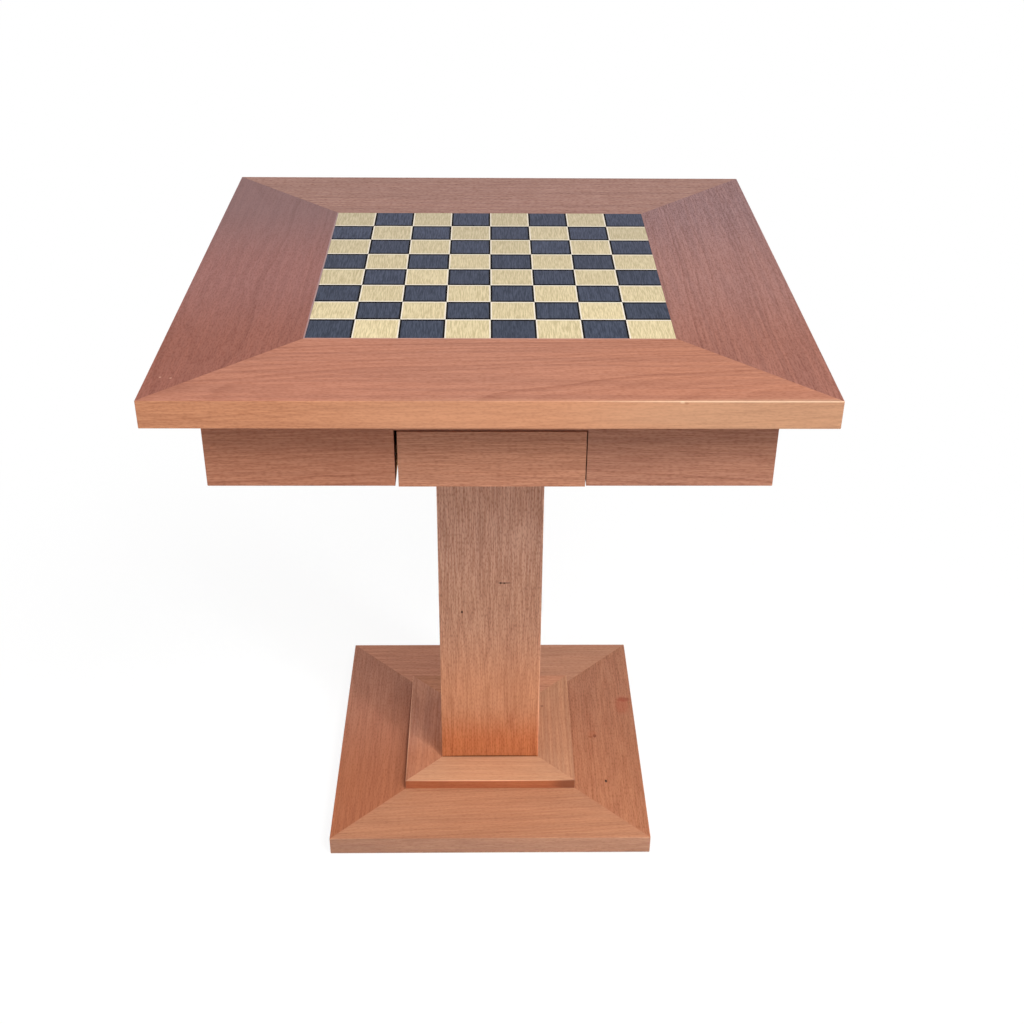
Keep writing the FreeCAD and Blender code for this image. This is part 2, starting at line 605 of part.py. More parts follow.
def main():
    """Builds every node, cuts the joinery into the pieces that it reaches, and saves them."""
    os.makedirs("parts", exist_ok=True)

    top_level = (TOP_UNDERSIDE + TABLE_HEIGHT) / 2
    base_level = (PAD_THICKNESS + BASE_TOP) / 2
    top_tongues, top_slots = mitre_tongues(BOARD_SIDE, TOP_SIDE, TOP_TONGUE_LENGTH, top_level)
    base_tongues, base_slots = mitre_tongues(CORE_SIDE, BASE_SIDE, BASE_TONGUE_LENGTH, base_level)
    core_slips, core_slots = core_tongues(base_level)
    pins, pin_holes = dowels(dowel_starts())
    frame_screws, frame_holes = screws(FRAME_SCREW, frame_screw_starts())
    runner_screws, runner_holes = screws(RUNNER_SCREW, runner_screw_starts())
    bottom_screws, bottom_holes = screws(BOTTOM_SCREW, bottom_screw_starts())
    rod, nuts, washers, rod_bores = tie_rod()
    cutters = top_slots + base_slots + core_slots + pin_holes + frame_holes + runner_holes + rod_bores

    table = {}
    for build in (top_pieces, apron_pieces, subframe_pieces, runner_pieces, column_pieces, base_pieces):
        table.update(build())
    for node, pieces in table.items():
        save(node, [bored(piece, cutters) for piece in pieces])

    loose = {
        "top_mitre_tongues": top_tongues,
        "base_tongues": base_tongues + core_slips,
        "dowels": pins,
        "frame_screws": frame_screws,
        "runner_screws": runner_screws,
        "tie_rod": [rod],
        "tie_rod_nuts": nuts,
        "tie_rod_washers": washers,
    }
    for node, pieces in loose.items():
        save(node, pieces)

    drawer = {}
    for node, pieces in drawer_pieces().items():
        drawer[node] = [bored(piece, bottom_holes) for piece in pieces]
    drawer["bottom_screws"] = bottom_screws
    half_turn_names = {"side_left": "side_right", "side_right": "side_left"}
    for node, pieces in drawer.items():
        save(f"front_drawer_{node}", pieces)
        rear_node = half_turn_names.get(node, node)
        save(f"rear_drawer_{rear_node}", [turned(piece, TURNS["rear"]) for piece in pieces])


main()
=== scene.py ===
"""Finishes, fittings, light and camera for a square chess table with an inlaid board.

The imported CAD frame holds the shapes. This script cuts every board from its own log, so that each
has its own rings, fibres and tone, replaces the hardware and the felt pads with finer pieces, and
sets up a plain studio. Places and sizes are millimetres until a mesh is made.
"""

import logging
import math
from dataclasses import dataclass
from enum import Enum
from typing import Mapping, Optional, Sequence, Union

import bpy
import numpy as np
from mathutils import Matrix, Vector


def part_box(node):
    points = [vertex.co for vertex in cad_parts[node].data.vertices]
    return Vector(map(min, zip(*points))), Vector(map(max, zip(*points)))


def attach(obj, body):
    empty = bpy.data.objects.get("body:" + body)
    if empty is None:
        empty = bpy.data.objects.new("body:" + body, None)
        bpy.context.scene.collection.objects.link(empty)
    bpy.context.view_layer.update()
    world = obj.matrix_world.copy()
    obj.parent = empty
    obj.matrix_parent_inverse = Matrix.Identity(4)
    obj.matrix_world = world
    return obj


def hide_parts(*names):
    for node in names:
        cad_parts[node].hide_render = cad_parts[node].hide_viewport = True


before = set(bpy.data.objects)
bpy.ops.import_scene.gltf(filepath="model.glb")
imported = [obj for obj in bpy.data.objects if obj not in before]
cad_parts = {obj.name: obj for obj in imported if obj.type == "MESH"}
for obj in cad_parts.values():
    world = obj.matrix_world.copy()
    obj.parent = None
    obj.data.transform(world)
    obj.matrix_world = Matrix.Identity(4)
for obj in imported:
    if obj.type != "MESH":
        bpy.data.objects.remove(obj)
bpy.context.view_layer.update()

Colour = tuple[float, float, float, float]
Place = tuple[float, float, float]
Socket = bpy.types.NodeSocket
Setting = Union[Socket, float, int, bool, str, Sequence[float]]
Tone = Union[str, tuple[tuple[float, str, float], ...]]

MM = 0.001
PER_MM = (1 / MM, 1 / MM, 1 / MM)
TABLE_BODY = "table"

# Sockets of the Mix node for colours, which has a set of each for every data type
MIX_FACTOR = 0
MIX_FIRST = 6
MIX_SECOND = 7
MIX_RESULT = 2

# Angle between neighbouring faces above which the edge between them stays sharp, degrees
SHARP_ANGLE = 35.0

# A thread's triangle wave is made this much steeper and lowered, so that its crest and root are flat
THREAD_SLOPE = 1.35
THREAD_DROP = 0.17

log = logging.getLogger("chess_table")


def linear(hex_colour: str) -> Colour:
    """Turns an sRGB hex colour into linear red, green, blue and alpha.

    Args:
        hex_colour: Six hex digits after a hash sign.

    Returns:
        The linear colour, opaque.
    """
    srgb = np.array([int(hex_colour[i:i + 2], 16) for i in (1, 3, 5)]) / 255
    light = np.where(srgb <= 0.04045, srgb / 12.92, ((srgb + 0.055) / 1.055) ** 2.4)
    return (float(light[0]), float(light[1]), float(light[2]), 1.0)


def stretched(size: tuple[float, float]) -> Place:
    """Gives the scale of a pattern that is so long along the grain and so wide across it, per mm."""
    return (1 / size[0], 1 / size[1], 1 / size[1])


class Grain(Enum):
    """Way that a board's fibres run, as the turn that lays them along the pattern's X axis."""

    ALONG_X = (0.0, 0.0, 0.0)
    ALONG_Y = (0.0, 0.0, -math.pi / 2)
    ALONG_Z = (0.0, math.pi / 2, 0.0)


class Shader:
    """Node tree of one material or of the world."""

    def __init__(self, tree: bpy.types.NodeTree) -> None:
        """Takes a node tree and empties it."""
        self.tree = tree
        self.tree.nodes.clear()

    @classmethod
    def for_material(cls, name: str) -> tuple["Shader", bpy.types.Material]:
        """Makes an empty material.

        Args:
            name: Name of the material.

        Returns:
            The shader that fills its tree, and the material.
        """
        material = bpy.data.materials.new(name)
        material.use_nodes = True
        return cls(material.node_tree), material

    def add(self, kind: str, inputs: Optional[Mapping[Union[int, str], Setting]] = None,
            out: Union[int, str] = 0, **settings: Setting) -> Socket:
        """Adds a node with its settings and links.

        Args:
            kind: Node type without its ShaderNode prefix.
            inputs: For each input, by name or number, the socket that feeds it or its value.
            out: Output to hand back, by name or number.
            settings: Properties of the node itself.

        Returns:
            The chosen output socket, or the node's first input if it has no outputs.
        """
        node = self.tree.nodes.new("ShaderNode" + kind)
        for name, value in settings.items():
            setattr(node, name, value)
        for key, value in (inputs or {}).items():
            if isinstance(value, bpy.types.NodeSocket):
                self.tree.links.new(value, node.inputs[key])
            else:
                node.inputs[key].default_value = value
        return node.outputs[out] if node.outputs else node.inputs[0]


@dataclass(frozen=True)
class Mark:
    """Natural mark or paler area of the wood, or a painted highlight, shadow or sheen, an ellipsoid that
    fades at its rim.

    Attributes:
        place: Middle, mm.
        reach: Half its length along each axis, mm.
        tone: Colour in its middle.
        weight: How much of the wood's own colour it covers.
    """

    place: Place
    reach: Place
    tone: str
    weight: float = 0.8


@dataclass(frozen=True)
class Board:
    """How one CAD node was sawn out of its log.

    Attributes:
        node: Name of the CAD node.
        grain: Way the fibres run.
        tone: Colour of the lacquered wood between its ring lines, or the stops that it drifts through
        along the grain: place in mm, colour, and contrast there. On some boards the stops carry painted
            light.
        heart: Place of the log's heart across the grain, in the pattern's Y and Z, mm.
        slope: How fast the heart sinks along the grain, as a share, which opens the ring lines to arches.
        skew: Angle between the fibres and the board's length, counted to the left, radians.
        edge: Colour of the faces that don't look up or down.
        edge_figure: Share of the ring lines and pale bands that shows on those faces.
        rings: Strength of its ring lines, over that of the timber in general.
        bands: The same for its pale bands.
        contrast: The same for its fibres and pores, unless the tone's stops give it.
        marks: Knots, pin holes and streaks, and painted highlights, shadows and sheen.
    """

    node: str
    grain: Grain
    tone: Tone
    heart: tuple[float, float]
    slope: float = 0.02
    skew: float = 0.0
    edge: Optional[str] = None
    edge_figure: float = 1.0
    rings: float = 1.0
    bands: float = 1.0
    contrast: float = 1.0
    marks: tuple[Mark, ...] = ()


@dataclass(frozen=True)
class Timber:
    """Planed timber under a clear finish: growth rings, fibres, pores, and rubbed arrises with a painted
    highlight along them.

    Real pores are a few tenths of a millimetre wide. They are drawn coarser, so that they show.

    Attributes:
        name: What the real material is.
        ring: Width of a growth ring, mm.
        band: Length and width of a pale band, mm.
        streak: Length and width of a streak of fibres, mm.
        pore: Length and width of an open pore, mm.
        late: Weight of the dark latewood line of each ring.
        bands: Weight of the pale bands.
        fibre: Weight of the dark fibre streaks.
        pores: Weight of the pores.
        wear_and_highlight: Weight of the pale rubbed arrises, partly real wear and partly a painted
            highlight.
        roughness: Roughness of the clear finish between the pores.
        ior: Index of refraction of the clear finish.
        relief: Depth of the pores, mm.
    """

    name: str
    ring: float = 5.0
    band: tuple[float, float] = (240.0, 7.0)
    streak: tuple[float, float] = (20.0, 1.6)
    pore: tuple[float, float] = (5.0, 1.7)
    late: float = 0.65
    bands: float = 0.70
    fibre: float = 0.62
    pores: float = 0.36
    wear_and_highlight: float = 0.55
    roughness: float = 0.52
    ior: float = 1.3
    relief: float = 0.05

    # Length and width of the broad bends and fine wavers of the ring lines, mm, and their reach in rings
    BEND_SIZE = (230.0, 55.0)
    BEND_REACH = 3.4
    WAVER_SIZE = (60.0, 9.0)
    WAVER_REACH = 0.55
    # Where within a ring the latewood begins and is darkest
    LATE_START = 0.25
    LATE_PEAK = 0.92
    # Noise levels at which a band, fibre or pore begins and is full, and how much the noise is broken up
    BAND_LEVELS = (0.38, 0.62)
    FIBRE_LEVELS = (0.34, 0.66)
    PORE_LEVELS = (0.46, 0.68)
    STREAK_DETAIL = 0.4
    # Upward part of the normal at which a face is no longer flat, and at which it is an edge
    EDGE_TURN = (0.8, 0.5)
    # Largest part of the normal where an arris begins and where it is full
    ARRIS_TURN = (0.97, 0.82)
    # Size of a rubbed patch, mm, and the noise levels at which it begins and is full
    PATCH = 45.0
    PATCH_LEVELS = (0.40, 0.62)
    # Share of a mark's reach within which it is full
    MARK_CORE = 0.4
    # How much rougher a pore is, how deep a fibre lies beside it, and the strength of their relief
    PORE_DULLNESS = 0.16
    FIBRE_DEPTH = 0.35
    BUMP = 0.6
    # Shares of the tone that the darker and paler parts of the figure keep, red, green and blue
    LATE_SHARE = (0.72, 0.62, 0.58)
    PORE_SHARE = (0.50, 0.40, 0.37)
    PALE_SHARE = (1.18, 1.20, 1.18)
    # The last share pales the arrises: partly rubbed wear, partly a painted highlight
    WORN_HIGHLIGHT_SHARE = (1.45, 1.62, 1.70)

    def figure(self, shader: Shader, grain: Socket, board: Board) -> Socket:
        """Draws the latewood lines of the growth rings.

        The distance of a point from the log's sloping heart line, bent by broad and fine noise, counts
        rings. Within a ring the wood darkens slowly and ends in a sharp line, and each ring has a
        strength of its own.

        Args:
            shader: Tree to draw in.
            grain: Point in mm with the fibres along X.
            board: Board whose heart is used.

        Returns:
            Darkness from 0 to 1.
        """
        log_point = shader.add("Mapping", {
            "Vector": grain,
            "Rotation": (0.0, math.atan(board.slope), 0.0),
            "Location": (0.0, -board.heart[0], -board.heart[1]),
        })
        across = shader.add("VectorMath", {0: log_point, 1: (0.0, 1.0, 1.0)}, operation="MULTIPLY")
        radius = shader.add("VectorMath", {0: across}, out="Value", operation="LENGTH")
        broad_point = shader.add("VectorMath", {0: grain, 1: stretched(self.BEND_SIZE)}, operation="MULTIPLY")
        broad = shader.add("TexNoise", {"Vector": broad_point, "Scale": 1.0, "Detail": 1.0})
        fine_point = shader.add("VectorMath", {0: grain, 1: stretched(self.WAVER_SIZE)}, operation="MULTIPLY")
        fine = shader.add("TexNoise", {"Vector": fine_point, "Scale": 1.0, "Detail": 2.0})
        bend = shader.add("Math", {0: broad, 1: self.BEND_REACH * self.ring, 2: radius},
                          operation="MULTIPLY_ADD")
        waver = shader.add("Math", {0: fine, 1: self.WAVER_REACH * self.ring, 2: bend},
                           operation="MULTIPLY_ADD")
        count = shader.add("Math", {0: waver, 1: self.ring}, operation="DIVIDE")
        phase = shader.add("Math", {0: count}, operation="FRACT")
        number = shader.add("Math", {0: count}, operation="FLOOR")
        strength = shader.add("TexWhiteNoise", {"W": number}, noise_dimensions="1D")
        rise = shader.add("MapRange", {
            "Value": phase, "From Min": self.LATE_START, "From Max": self.LATE_PEAK,
        }, interpolation_type="SMOOTHSTEP")
        fall = shader.add("MapRange", {"Value": phase, "From Min": 1.0, "From Max": self.LATE_PEAK},
                          interpolation_type="SMOOTHSTEP")
        line = shader.add("Math", {0: rise, 1: fall}, operation="MULTIPLY")
        return shader.add("Math", {0: line, 1: strength}, operation="MULTIPLY")

    def streaks(self, shader: Shader, grain: Socket, size: tuple[float, float],
                levels: tuple[float, float]) -> Socket:
        """Draws streaks along the grain, where noise stretched to their length and width passes a level.

        Args:
            shader: Tree to draw in.
            grain: Point in mm with the fibres along X.
            size: Length and width of a streak, mm.
            levels: Noise levels at which a streak begins and is full.

        Returns:
            Darkness from 0 to 1.
        """
        point = shader.add("VectorMath", {0: grain, 1: stretched(size)}, operation="MULTIPLY")
        noise = shader.add("TexNoise", {"Vector": point, "Scale": 1.0, "Detail": self.STREAK_DETAIL})
        return shader.add("MapRange", {"Value": noise, "From Min": levels[0], "From Max": levels[1]},
                          interpolation_type="SMOOTHSTEP")

    def tones(self, shader: Shader, grain: Socket, board: Board, normal: Socket) -> tuple[Setting, Setting]:
        """Lays the board's tone and contrast, their drift along the grain and the colour of its edges.

        Args:
            shader: Tree to draw in.
            grain: Point in mm with the fibres along X.
            board: Board that names the colours.
            normal: Surface normal in the table's frame.

        Returns:
            Colour before the figure is drawn, and contrast of the fibres and pores.
        """
        contrast: Setting = board.contrast
        if isinstance(board.tone, str):
            tone: Setting = linear(board.tone)
        else:
            places, colours, contrasts = zip(*board.tone)
            along = shader.add("SeparateXYZ", {0: grain}, out="X")
            share = shader.add("MapRange", {
                "Value": along, "From Min": places[0], "From Max": places[-1],
            })
            tone = shader.add("ValToRGB", {"Fac": share}, out="Color")
            ramp = tone.node.color_ramp
            ramp.interpolation = "EASE"
            for place in places[1:-1]:
                ramp.elements.new((place - places[0]) / (places[-1] - places[0]))
            # The ramp's alpha carries the contrast
            for stop, colour, alpha in zip(ramp.elements, colours, contrasts):
                stop.color = (*linear(colour)[:3], alpha)
            contrast = tone.node.outputs["Alpha"]
        if board.edge:
            tone = shader.add("Mix", {
                MIX_FACTOR: self.upright(shader, normal, 0.0, 1.0), MIX_FIRST: tone,
                MIX_SECOND: linear(board.edge),
            }, out=MIX_RESULT, data_type="RGBA")
        return tone, contrast

    def upright(self, shader: Shader, normal: Socket, flat: float, edge: float) -> Socket:
        """Gives one value on faces that look up or down and another on the edges.

        Args:
            shader: Tree to draw in.
            normal: Surface normal in the table's frame.
            flat: Value on faces that look up or down.
            edge: Value on the rest.

        Returns:
            The value, which changes over the arrises between them.
        """
        up = shader.add("SeparateXYZ", {0: normal}, out="Z")
        level = shader.add("Math", {0: up}, operation="ABSOLUTE")
        start, end = self.EDGE_TURN
        return shader.add("MapRange", {
            "Value": level, "From Min": start, "From Max": end, "To Min": flat, "To Max": edge,
        })

    def material(self, board: Board) -> bpy.types.Material:
        """Makes the finish of one board.

        Args:
            board: How the board was sawn, and its colours.

        Returns:
            Its material, in the table's own coordinates.
        """
        shader, material = Shader.for_material(f"{self.name}_{board.node}")
        place = shader.add("TexCoord", out="Object")
        normal = place.node.outputs["Normal"]
        tilt, turn, spin = board.grain.value
        grain = shader.add("Mapping", {
            "Vector": place, "Scale": PER_MM, "Rotation": (tilt, turn, spin - board.skew),
        })
        late = self.figure(shader, grain, board)
        band = self.streaks(shader, grain, self.band, self.BAND_LEVELS)
        fibre = self.streaks(shader, grain, self.streak, self.FIBRE_LEVELS)
        pore = self.streaks(shader, grain, self.pore, self.PORE_LEVELS)
        if board.edge_figure != 1:
            share = self.upright(shader, normal, 1.0, board.edge_figure)
            late = shader.add("Math", {0: late, 1: share}, operation="MULTIPLY")
            band = shader.add("Math", {0: band, 1: share}, operation="MULTIPLY")

        tone, contrast = self.tones(shader, grain, board, normal)
        fibre = shader.add("Math", {0: fibre, 1: contrast}, operation="MULTIPLY")
        pore = shader.add("Math", {0: pore, 1: contrast}, operation="MULTIPLY")
        colour = self.tinted(shader, tone, self.PALE_SHARE, band, self.bands * board.bands)
        colour = self.tinted(shader, colour, self.LATE_SHARE, late, self.late * board.rings)
        colour = self.tinted(shader, colour, self.LATE_SHARE, fibre, self.fibre)
        colour = self.tinted(shader, colour, self.PORE_SHARE, pore, self.pores)
        if self.wear_and_highlight:
            colour = self.worn_and_highlit(shader, colour, place, normal)
        for mark in board.marks:
            colour = self.marked(shader, colour, place, mark)

        gloss = shader.add("MapRange", {
            "Value": pore, "To Min": self.roughness, "To Max": self.roughness + self.PORE_DULLNESS,
        })
        hollow = shader.add("Math", {0: fibre, 1: self.FIBRE_DEPTH, 2: pore}, operation="MULTIPLY_ADD")
        bump = shader.add("Bump", {"Height": hollow, "Distance": self.relief * MM, "Strength": self.BUMP},
                          invert=True)
        surface = shader.add("BsdfPrincipled", {
            "Base Color": colour, "Roughness": gloss, "IOR": self.ior, "Normal": bump,
        })
        shader.add("OutputMaterial", {"Surface": surface})
        return material

    def tinted(self, shader: Shader, colour: Setting, share: Place, mask: Socket, weight: float) -> Socket:
        """Multiplies a colour by a share of each channel where a mask and its weight say so.

        Args:
            shader: Tree to draw in.
            colour: Colour so far.
            share: What is left of red, green and blue where the mask is full.
            mask: Where the tint lies, 0 to 1.
            weight: Strength of the whole tint.

        Returns:
            Tinted colour.
        """
        factor = shader.add("Math", {0: mask, 1: weight}, operation="MULTIPLY")
        return shader.add("Mix", {MIX_FACTOR: factor, MIX_FIRST: colour, MIX_SECOND: (*share, 1.0)},
                          out=MIX_RESULT, data_type="RGBA", blend_type="MULTIPLY", clamp_result=False)

    def worn_and_highlit(self, shader: Shader, colour: Socket, place: Socket, normal: Socket) -> Socket:
        """Pales the eased arrises, patch by patch: partly rubbed wear, partly a painted highlight along them.

        A flat face looks along an axis, so an arris is where no part of the normal is near one.

        Args:
            shader: Tree to draw in.
            colour: Colour so far.
            place: Point in metres.
            normal: Surface normal in the table's frame.

        Returns:
            Colour with pale arrises, rubbed and with a painted highlight.
        """
        size = shader.add("VectorMath", {0: normal}, operation="ABSOLUTE")
        parts = shader.add("SeparateXYZ", {0: size}).node.outputs
        larger = shader.add("Math", {0: parts["X"], 1: parts["Y"]}, operation="MAXIMUM")
        largest = shader.add("Math", {0: larger, 1: parts["Z"]}, operation="MAXIMUM")
        start, full = self.ARRIS_TURN
        arris = shader.add("MapRange", {"Value": largest, "From Min": start, "From Max": full},
                           interpolation_type="SMOOTHSTEP")
        patch_noise = shader.add("TexNoise", {"Vector": place, "Scale": 1 / (self.PATCH * MM), "Detail": 2.0})
        low, high = self.PATCH_LEVELS
        patch = shader.add("MapRange", {"Value": patch_noise, "From Min": low, "From Max": high},
                           interpolation_type="SMOOTHSTEP")
        # Pale arris patches: rubbed wear and a painted highlight
        rubbed = shader.add("Math", {0: arris, 1: patch}, operation="MULTIPLY")
        return self.tinted(shader, colour, self.WORN_HIGHLIGHT_SHARE, rubbed, self.wear_and_highlight)

    def marked(self, shader: Shader, colour: Socket, place: Socket, mark: Mark) -> Socket:
        """Draws one mark, full in its core and gone at its rim.

        Args:
            shader: Tree to draw in.
            colour: Colour so far.
            place: Point in metres.
            mark: Mark to draw.

        Returns:
            Colour with the mark.
        """
        middle = tuple(MM * x for x in mark.place)
        scale = tuple(1 / (MM * x) for x in mark.reach)
        offset = shader.add("VectorMath", {0: place, 1: middle}, operation="SUBTRACT")
        shares = shader.add("VectorMath", {0: offset, 1: scale}, operation="MULTIPLY")
        distance = shader.add("VectorMath", {0: shares}, out="Value", operation="LENGTH")
        mask = shader.add("MapRange", {
            "Value": distance, "From Min": 1.0, "From Max": self.MARK_CORE, "To Max": mark.weight,
        }, interpolation_type="SMOOTHSTEP")
        return shader.add("Mix", {MIX_FACTOR: mask, MIX_FIRST: colour, MIX_SECOND: linear(mark.tone)},
                          out=MIX_RESULT, data_type="RGBA")


@dataclass(frozen=True)
class SquareVeneer:
    """Thick veneer squares let into the board, under the same satin lacquer as the top.

    Attributes:
        name: What the real material is.
        tone: Colour of the fibres in the front row.
        rear_tone_with_painted_light: Colour of the fibres in the rear row, with painted light: darker on the
            pale veneer where the light falls off, paler on the dyed veneer where sheen shows.
        streak_share: What the darker fibres keep of red, green and blue.
        rim_tone: Colour of the cut rim of each square, paler or darker than its fibres.
        rim: Width of the cut rim, mm, at the ends of the fibres and along their sides.
        spread: How far a square's brightness may lie from the tone, as a share.
        ior: Index of refraction of the lacquer, lower where it has sunk into the veneer.
        square: Side of a square, mm.
        per_side: Squares along each side of the board.
        streak: Length and width of a fibre, drawn coarser than the real one so that it shows, mm.
        roughness: Roughness of the lacquer.
        relief: Depth of the fibres, mm.
    """

    name: str
    tone: str
    rear_tone_with_painted_light: str
    streak_share: Place
    rim_tone: str
    rim: tuple[float, float]
    spread: float
    ior: float
    square: float = 50.0
    per_side: int = 8
    streak: tuple[float, float] = (16.0, 1.2)
    roughness: float = 0.54
    relief: float = 0.04

    # How far apart in the sheet the squares may have been cut, mm
    SHEET = 900.0
    # Noise levels at which a dark fibre begins and is full
    FIBRE_LEVELS = (0.34, 0.66)
    # How far the lacquer's roughness lies from its mean on the palest and darkest fibres
    GLOSS_SPREAD = (-0.06, 0.08)
    BUMP = 0.5
    # Share of the rim's width at which the rim is full
    RIM_CORE = 0.7

    def material(self) -> bpy.types.Material:
        """Makes the finish, with a tone and a fibre pattern of its own on every square.

        Returns:
            The material of all squares of this veneer.
        """
        shader, material = Shader.for_material(self.name)
        place = shader.add("TexCoord", out="Object")
        grain = shader.add("Mapping", {"Vector": place, "Scale": PER_MM, "Rotation": Grain.ALONG_Y.value})
        # The whole part of the place over a square's side numbers the squares, and noise gives each a lot
        flat = (1 / self.square, 1 / self.square, 0.0)
        cell = shader.add("VectorMath", {0: grain, 1: flat}, operation="MULTIPLY")
        number = shader.add("VectorMath", {0: cell}, operation="FLOOR")
        lot = shader.add("TexWhiteNoise", {"Vector": number}, noise_dimensions="3D")
        lot_colour = lot.node.outputs["Color"]
        own = shader.add("VectorMath", {0: lot_colour, 1: (self.SHEET, self.SHEET, self.SHEET), 2: grain},
                         operation="MULTIPLY_ADD")
        point = shader.add("VectorMath", {0: own, 1: stretched(self.streak)}, operation="MULTIPLY")
        noise = shader.add("TexNoise", {"Vector": point, "Scale": 1.0, "Detail": 3.0, "Roughness": 0.65})
        low, high = self.FIBRE_LEVELS
        fibre = shader.add("MapRange", {"Value": noise, "From Min": low, "From Max": high},
                           interpolation_type="SMOOTHSTEP")

        # Painted light: the tone drifts from the front row to the rear one, for light falling off and for
        # sheen
        along = shader.add("SeparateXYZ", {0: grain}, out="X")
        half_board = self.per_side / 2 * self.square
        back = shader.add("MapRange", {"Value": along, "From Min": -half_board, "From Max": half_board})
        tone = shader.add("Mix", {
            MIX_FACTOR: back, MIX_FIRST: linear(self.tone), MIX_SECOND: linear(self.rear_tone_with_painted_light),
        }, out=MIX_RESULT, data_type="RGBA")
        bright = shader.add("MapRange", {
            "Value": lot, "To Min": 1 - self.spread, "To Max": 1 + self.spread,
        })
        level = shader.add("VectorMath", {0: tone, "Scale": bright}, operation="SCALE")
        colour = shader.add("Mix", {
            MIX_FACTOR: fibre, MIX_FIRST: level, MIX_SECOND: (*self.streak_share, 1.0),
        }, out=MIX_RESULT, data_type="RGBA", blend_type="MULTIPLY")
        rim = self.rim_mask(shader, cell)
        colour = shader.add("Mix", {
            MIX_FACTOR: rim, MIX_FIRST: colour, MIX_SECOND: linear(self.rim_tone),
        }, out=MIX_RESULT, data_type="RGBA")

        glossy, dull = self.GLOSS_SPREAD
        lacquer = shader.add("MapRange", {
            "Value": noise, "To Min": self.roughness + glossy, "To Max": self.roughness + dull,
        })
        # The rim lies in a scratch of the cutter, which has no gloss
        gloss = shader.add("Math", {0: lacquer, 1: rim}, operation="MAXIMUM")
        bump = shader.add("Bump", {"Height": noise, "Distance": self.relief * MM, "Strength": self.BUMP},
                          invert=True)
        surface = shader.add("BsdfPrincipled", {
            "Base Color": colour, "Roughness": gloss, "IOR": self.ior, "Normal": bump,
        })
        shader.add("OutputMaterial", {"Surface": surface})
        return material

    def rim_mask(self, shader: Shader, cell: Socket) -> Socket:
        """Finds the cut rim, where the place within its square is close to another square.

        Args:
            shader: Tree to draw in.
            cell: Place over the square's side.

        Returns:
            1 on the rim, falling to 0 over its inner part.
        """
        # Outside the middles of the outer squares the place is held there, so the border has no rim
        outer = (self.per_side - 1) / 2
        low = shader.add("VectorMath", {0: cell, 1: (-outer, -outer, 0.0)}, operation="MAXIMUM")
        held = shader.add("VectorMath", {0: low, 1: (outer, outer, 0.0)}, operation="MINIMUM")
        within = shader.add("VectorMath", {0: held}, operation="FRACTION")
        centred = shader.add("VectorMath", {0: within, 1: (0.5, 0.5, 0.0)}, operation="SUBTRACT")
        away = shader.add("VectorMath", {0: centred}, operation="ABSOLUTE")
        inside = shader.add("VectorMath", {0: (0.5, 0.5, 0.5), 1: away}, operation="SUBTRACT")
        rims = (self.square / self.rim[0], self.square / self.rim[1], 0.0)
        widths = shader.add("VectorMath", {0: inside, 1: rims}, operation="MULTIPLY")
        parts = shader.add("SeparateXYZ", {0: widths}).node.outputs
        nearest = shader.add("Math", {0: parts["X"], 1: parts["Y"]}, operation="MINIMUM")
        return shader.add("MapRange", {"Value": nearest, "From Min": 1.0, "From Max": self.RIM_CORE})


@dataclass(frozen=True)
class Speckled:
    """Finish without grain, whose specks, stains or fibres lie over its main colour.

    Attributes:
        name: What the real material is.
        tone: Main colour.
        fleck: Colour of the specks, stains or fibres.
        levels: Noise levels at which a fleck begins and is full.
        weight: How much of the main colour a full fleck covers.
        grit: Size of the grains that give gloss and relief, mm.
        gloss: Roughness of the lowest and highest grains.
        relief: Height of the grains, mm.
        bump: Strength of that relief.
    """

    name: str
    tone: str
    fleck: str
    levels: tuple[float, float]
    weight: float
    grit: float
    gloss: tuple[float, float]
    relief: float
    bump: float

    def lay(self, shader: Shader, noise: Socket, grains: Socket, own: Mapping[str, Setting]) -> None:
        """Lays the flecks over the main colour, and ends the tree with a shader.

        Args:
            shader: Tree to draw in.
            noise: Noise whose levels draw the flecks.
            grains: Height of the grains, 0 to 1.
            own: Inputs of the shader that only this finish has.
        """
        low, high = self.levels
        mask = shader.add("MapRange", {
            "Value": noise, "From Min": low, "From Max": high, "To Max": self.weight,
        })
        colour = shader.add("Mix", {
            MIX_FACTOR: mask, MIX_FIRST: linear(self.tone), MIX_SECOND: linear(self.fleck),
        }, out=MIX_RESULT, data_type="RGBA")
        smooth, dull = self.gloss
        gloss = shader.add("MapRange", {"Value": grains, "To Min": smooth, "To Max": dull})
        bump = shader.add("Bump", {"Height": grains, "Distance": self.relief * MM, "Strength": self.bump})
        surface = shader.add("BsdfPrincipled", {
            "Base Color": colour, "Roughness": gloss, "Normal": bump, **own,
        })
        shader.add("OutputMaterial", {"Surface": surface})


@dataclass(frozen=True)
class Fibreboard(Speckled):
    """Medium-density fibreboard: pressed wood dust with pale and dark specks and no grain.

    The specks are drawn coarser than the real dust, so that they show.

    Attributes:
        cloud: Size of the clouds in which the specks lie, mm.
        cloud_weight: How much the clouds count beside the specks.
    """

    name: str = "medium_density_fibreboard"
    tone: str = "#a98d68"
    fleck: str = "#7d6243"
    levels: tuple[float, float] = (0.50, 0.82)
    weight: float = 1.0
    grit: float = 1.6
    gloss: tuple[float, float] = (0.72, 0.9)
    relief: float = 0.06
    bump: float = 0.5
    cloud: float = 14.0
    cloud_weight: float = 0.3

    def material(self) -> bpy.types.Material:
        """Makes the finish from specks and the clouds in which they lie.

        Returns:
            The material.
        """
        shader, material = Shader.for_material(self.name)
        place = shader.add("TexCoord", out="Object")
        dust = shader.add("TexNoise", {"Vector": place, "Scale": 1 / (self.grit * MM), "Detail": 3.0})
        cloud = shader.add("TexNoise", {"Vector": place, "Scale": 1 / (self.cloud * MM), "Detail": 2.0})
        both = shader.add("Math", {0: cloud, 1: self.cloud_weight, 2: dust}, operation="MULTIPLY_ADD")
        self.lay(shader, both, dust, {})
        return material


